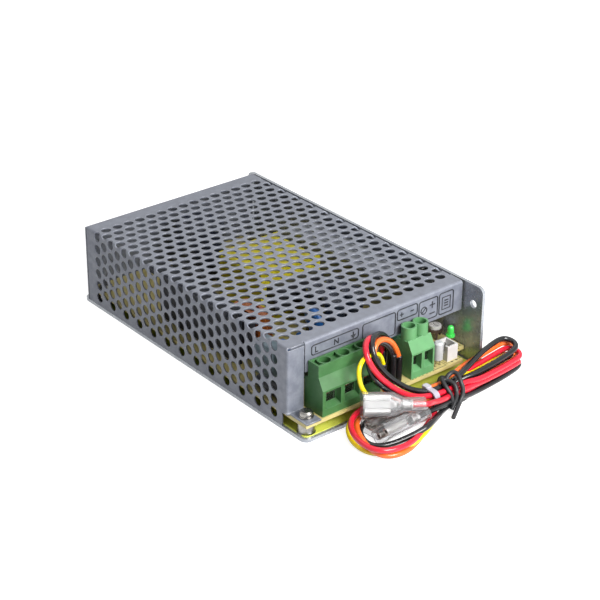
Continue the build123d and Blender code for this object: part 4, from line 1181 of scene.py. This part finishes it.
def moulded(name, shape, place, material, slotName, thickness):
    vertices, faces = shape
    piece = addMesh(name, [place @ Vector(v) for v in vertices], faces, material, slotName, smooth=True)
    thicken(piece, thickness)
    return piece


def bootShape():
    w, t, neck = boots["width"] / 2, boots["thickness"] / 2, boots["neck"]
    full = boots["length"]
    neckStart = full + boots["taper"]
    end = neckStart + boots["neckLength"]
    rings = [ovalRing(x, w * k, t * k, 7) for x, k in (*boots["mouth"], (full - 0.8, 0.97))]
    rings.append(ovalRing(full + 0.3, w * 0.9, t * 0.97, 5))
    rings.append(ovalRing(full + 1.9, (w + neck) / 2 * 0.98, (t + neck) / 2, 3))
    neckRings = ((neckStart, 1.02), (neckStart + 1.2, 0.98), (end - 0.2, 1.0), (end, 0.96))
    rings += [ovalRing(x, neck * k, neck * k, 2.1) for x, k in neckRings]
    return stackRings(rings)


def bladeShape():
    # two rolled edges and the flat tongue between them
    full = boots["length"]
    start, stop = receptacle["start"], full - receptacle["short"]
    half, roll = receptacle["width"] / 2, receptacle["roll"]
    turns = [radians(receptacle["rollTurn"] * i - 90) for i in range(receptacle["rollSteps"] + 1)]
    profile = [(half - roll + roll * cos(t), roll * sin(t)) for t in turns]
    parts = []
    for side in (1, -1):
        rows = [[(x, side * y, z) for y, z in profile] for x in (start, start + 0.3, stop - 0.2, stop)]
        vertices, faces = joinRows(rows)
        parts.append((vertices, faces if side > 0 else [face[::-1] for face in faces]))
    rows = [[(x, (half - roll) * s, -roll) for s in receptacle["tongueColumns"]] for x in (start, stop)]
    for past, k in receptacle["tongue"]:
        z = receptacle["tongueRise"] - roll
        rows.append([(full + past, (half - roll) * k * s, z) for s in receptacle["tongueColumns"]])
    parts.append(joinRows(rows))
    return mergeParts(parts)


def crimpShape():
    neckStart, radius = boots["length"] + boots["taper"], receptacle["barrel"]
    start, end = (neckStart + x for x in receptacle["barrelSpan"])
    sections = (
        (start, 1.0), (start + 0.2, 1.06), (start + 2.2, 1.0), (start + 2.5, 0.86),
        (start + 3.2, 0.86), (start + 3.5, 1.0), (end - 0.2, 1.06), (end, 0.98),
    )
    return stackRings([ovalRing(x, radius * k, radius * k * 0.95, 2.4, 24) for x, k in sections])


def makeConnectors():
    vinyl = finish("clearVinyl", boots["vinyl"])
    tin = finish("tinnedReceptacle", receptacle["tin"])
    made = {}
    for name, place in bootPlaces.items():
        blade, crimp = name.replace("Boot", "Blade"), name.replace("Boot", "Crimp")
        made[name] = (
            moulded(name, bootShape(), place, vinyl, "clear_boot", boots["wall"]),
            moulded(blade, bladeShape(), place, tin, "tinned", receptacle["sheet"]),
            moulded(crimp, crimpShape(), place, tin, "tinned", receptacle["barrelSheet"]),
        )
    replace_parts(made["redBoot"][0], "spade_boots")
    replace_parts(made["redBoot"][1], "spade_receptacles")
    return made


connectors = makeConnectors()
makeTwistTie()
makeCableTie()
makeSleeves()
print("connectors, ties and sleeves made")

tray = {
    "x": (69.58, 74.22),
    "y": (-37.5, -8.5),
    "z": 28.2,
    "sheet": 0.5,
    "wells": (-32.8, -23.0, -13.2),
    "middle": 71.9,
    "wellRadius": 3.15,
    "columns": 14,
}


def makeTray():
    # closes the hollow top of the input block round its three driver wells
    (x0, x1), (y0, y1) = tray["x"], tray["y"]
    stops = [y0, *tray["wells"], y1]
    parts = []
    for gap in range(len(stops) - 1):
        rows = []
        for column in range(tray["columns"] + 1):
            x = x0 + (x1 - x0) * column / tray["columns"]
            bulge = sqrt(tray["wellRadius"] ** 2 - (x - tray["middle"]) ** 2)
            near = stops[gap] + (bulge if gap > 0 else 0)
            far = stops[gap + 1] - (bulge if gap < len(stops) - 2 else 0)
            rows.append([(x, near, tray["z"]), (x, far, tray["z"])])
        parts.append(joinRows(rows))
    piece = addMesh("terminalTray", *mergeParts(parts), slotFinish["dark_green"], "dark_green")
    thicken(piece, tray["sheet"])


varistor = {
    "centre": (33.5, -6.0, 22.4),
    "radius": 5.2,
    "half": 1.8,
    "legs": 2.5,
    "legRadius": 0.35,
    "profile": ((-1.0, 0.5), (-0.92, 0.8), (-0.6, 0.95), (0, 1.0), (0.6, 0.95), (0.92, 0.8), (1.0, 0.5)),
}


def makeVaristor():
    # a blue dipped disc that shows through the top of the cover
    cx, cy, cz = varistor["centre"]
    radius, board = varistor["radius"], coverSheet["board"]
    rings = []
    for y, k in varistor["profile"]:
        ring = ovalRing(0, radius * k, radius * k * 1.04, 2, 28)
        rings.append([(cx + u, cy + y * varistor["half"], cz + v) for _, u, v in ring])
    parts = [stackRings(rings, True, True)]
    for side in (-1, 1):
        x = cx + side * varistor["legs"]
        heights = (cz - radius * 0.8, (cz + board) / 2 - 1, board)
        parts.append(stackRings([flatRing(x, cy, z, varistor["legRadius"], 8) for z in heights]))
    addMesh("varistor", *mergeParts(parts), slotFinish["blue_dip"], "blue_dip", smooth=True)


marks = {
    "height": 7.72,
    "line": 0.11,
    "ink": {"colour": "2b2a26", "second": "3a3934", "rough": (0.5, 0.7)},
    "boxes": [
        (67.6, 77.2, 30.2, 38.0), (52.8, 61.2, 38.1, 46.2), (72.6, 78.0, 22.9, 29.1), (63.2, 69.6, 39.0, 45.4),
    ],
    "tickX": 78.15,
    "tickLength": 0.9,
    "ticks": (9.6, 11.2, 13.4, 15.2, 17.6, 19.4, 21.2, -7.0, -5.2, -3.6, 0.4, 2.6, 5.4),
    "crosses": [
        (75.8, 39.6, 0.8), (73.6, 40.8, 0.8), (70.9, 42.8, 0.9),
        (77.4, 33.0, 0.6), (77.4, 35.6, 0.6), (62.4, 36.4, 0.8),
    ],
}


def makeBoardMarks():
    # printed outlines of the parts along the board's front edge
    flat = [([(x0, y0), (x1, y0), (x1, y1), (x0, y1)], True) for x0, x1, y0, y1 in marks["boxes"]]
    flat += [([(marks["tickX"], y), (marks["tickX"], y + marks["tickLength"])], False) for y in marks["ticks"]]
    for x, y, size in marks["crosses"]:
        flat += [([(x - size, y), (x + size, y)], False), ([(x, y - size), (x, y + size)], False)]
    strokes = [([(x, y, marks["height"]) for x, y in path], closed) for path, closed in flat]
    drawStrokes("boardMarks", strokes, marks["line"], 0, finish("boardInk", marks["ink"]))


makeTray()
makeVaristor()
makeBoardMarks()
print("tray, varistor and board marks made")
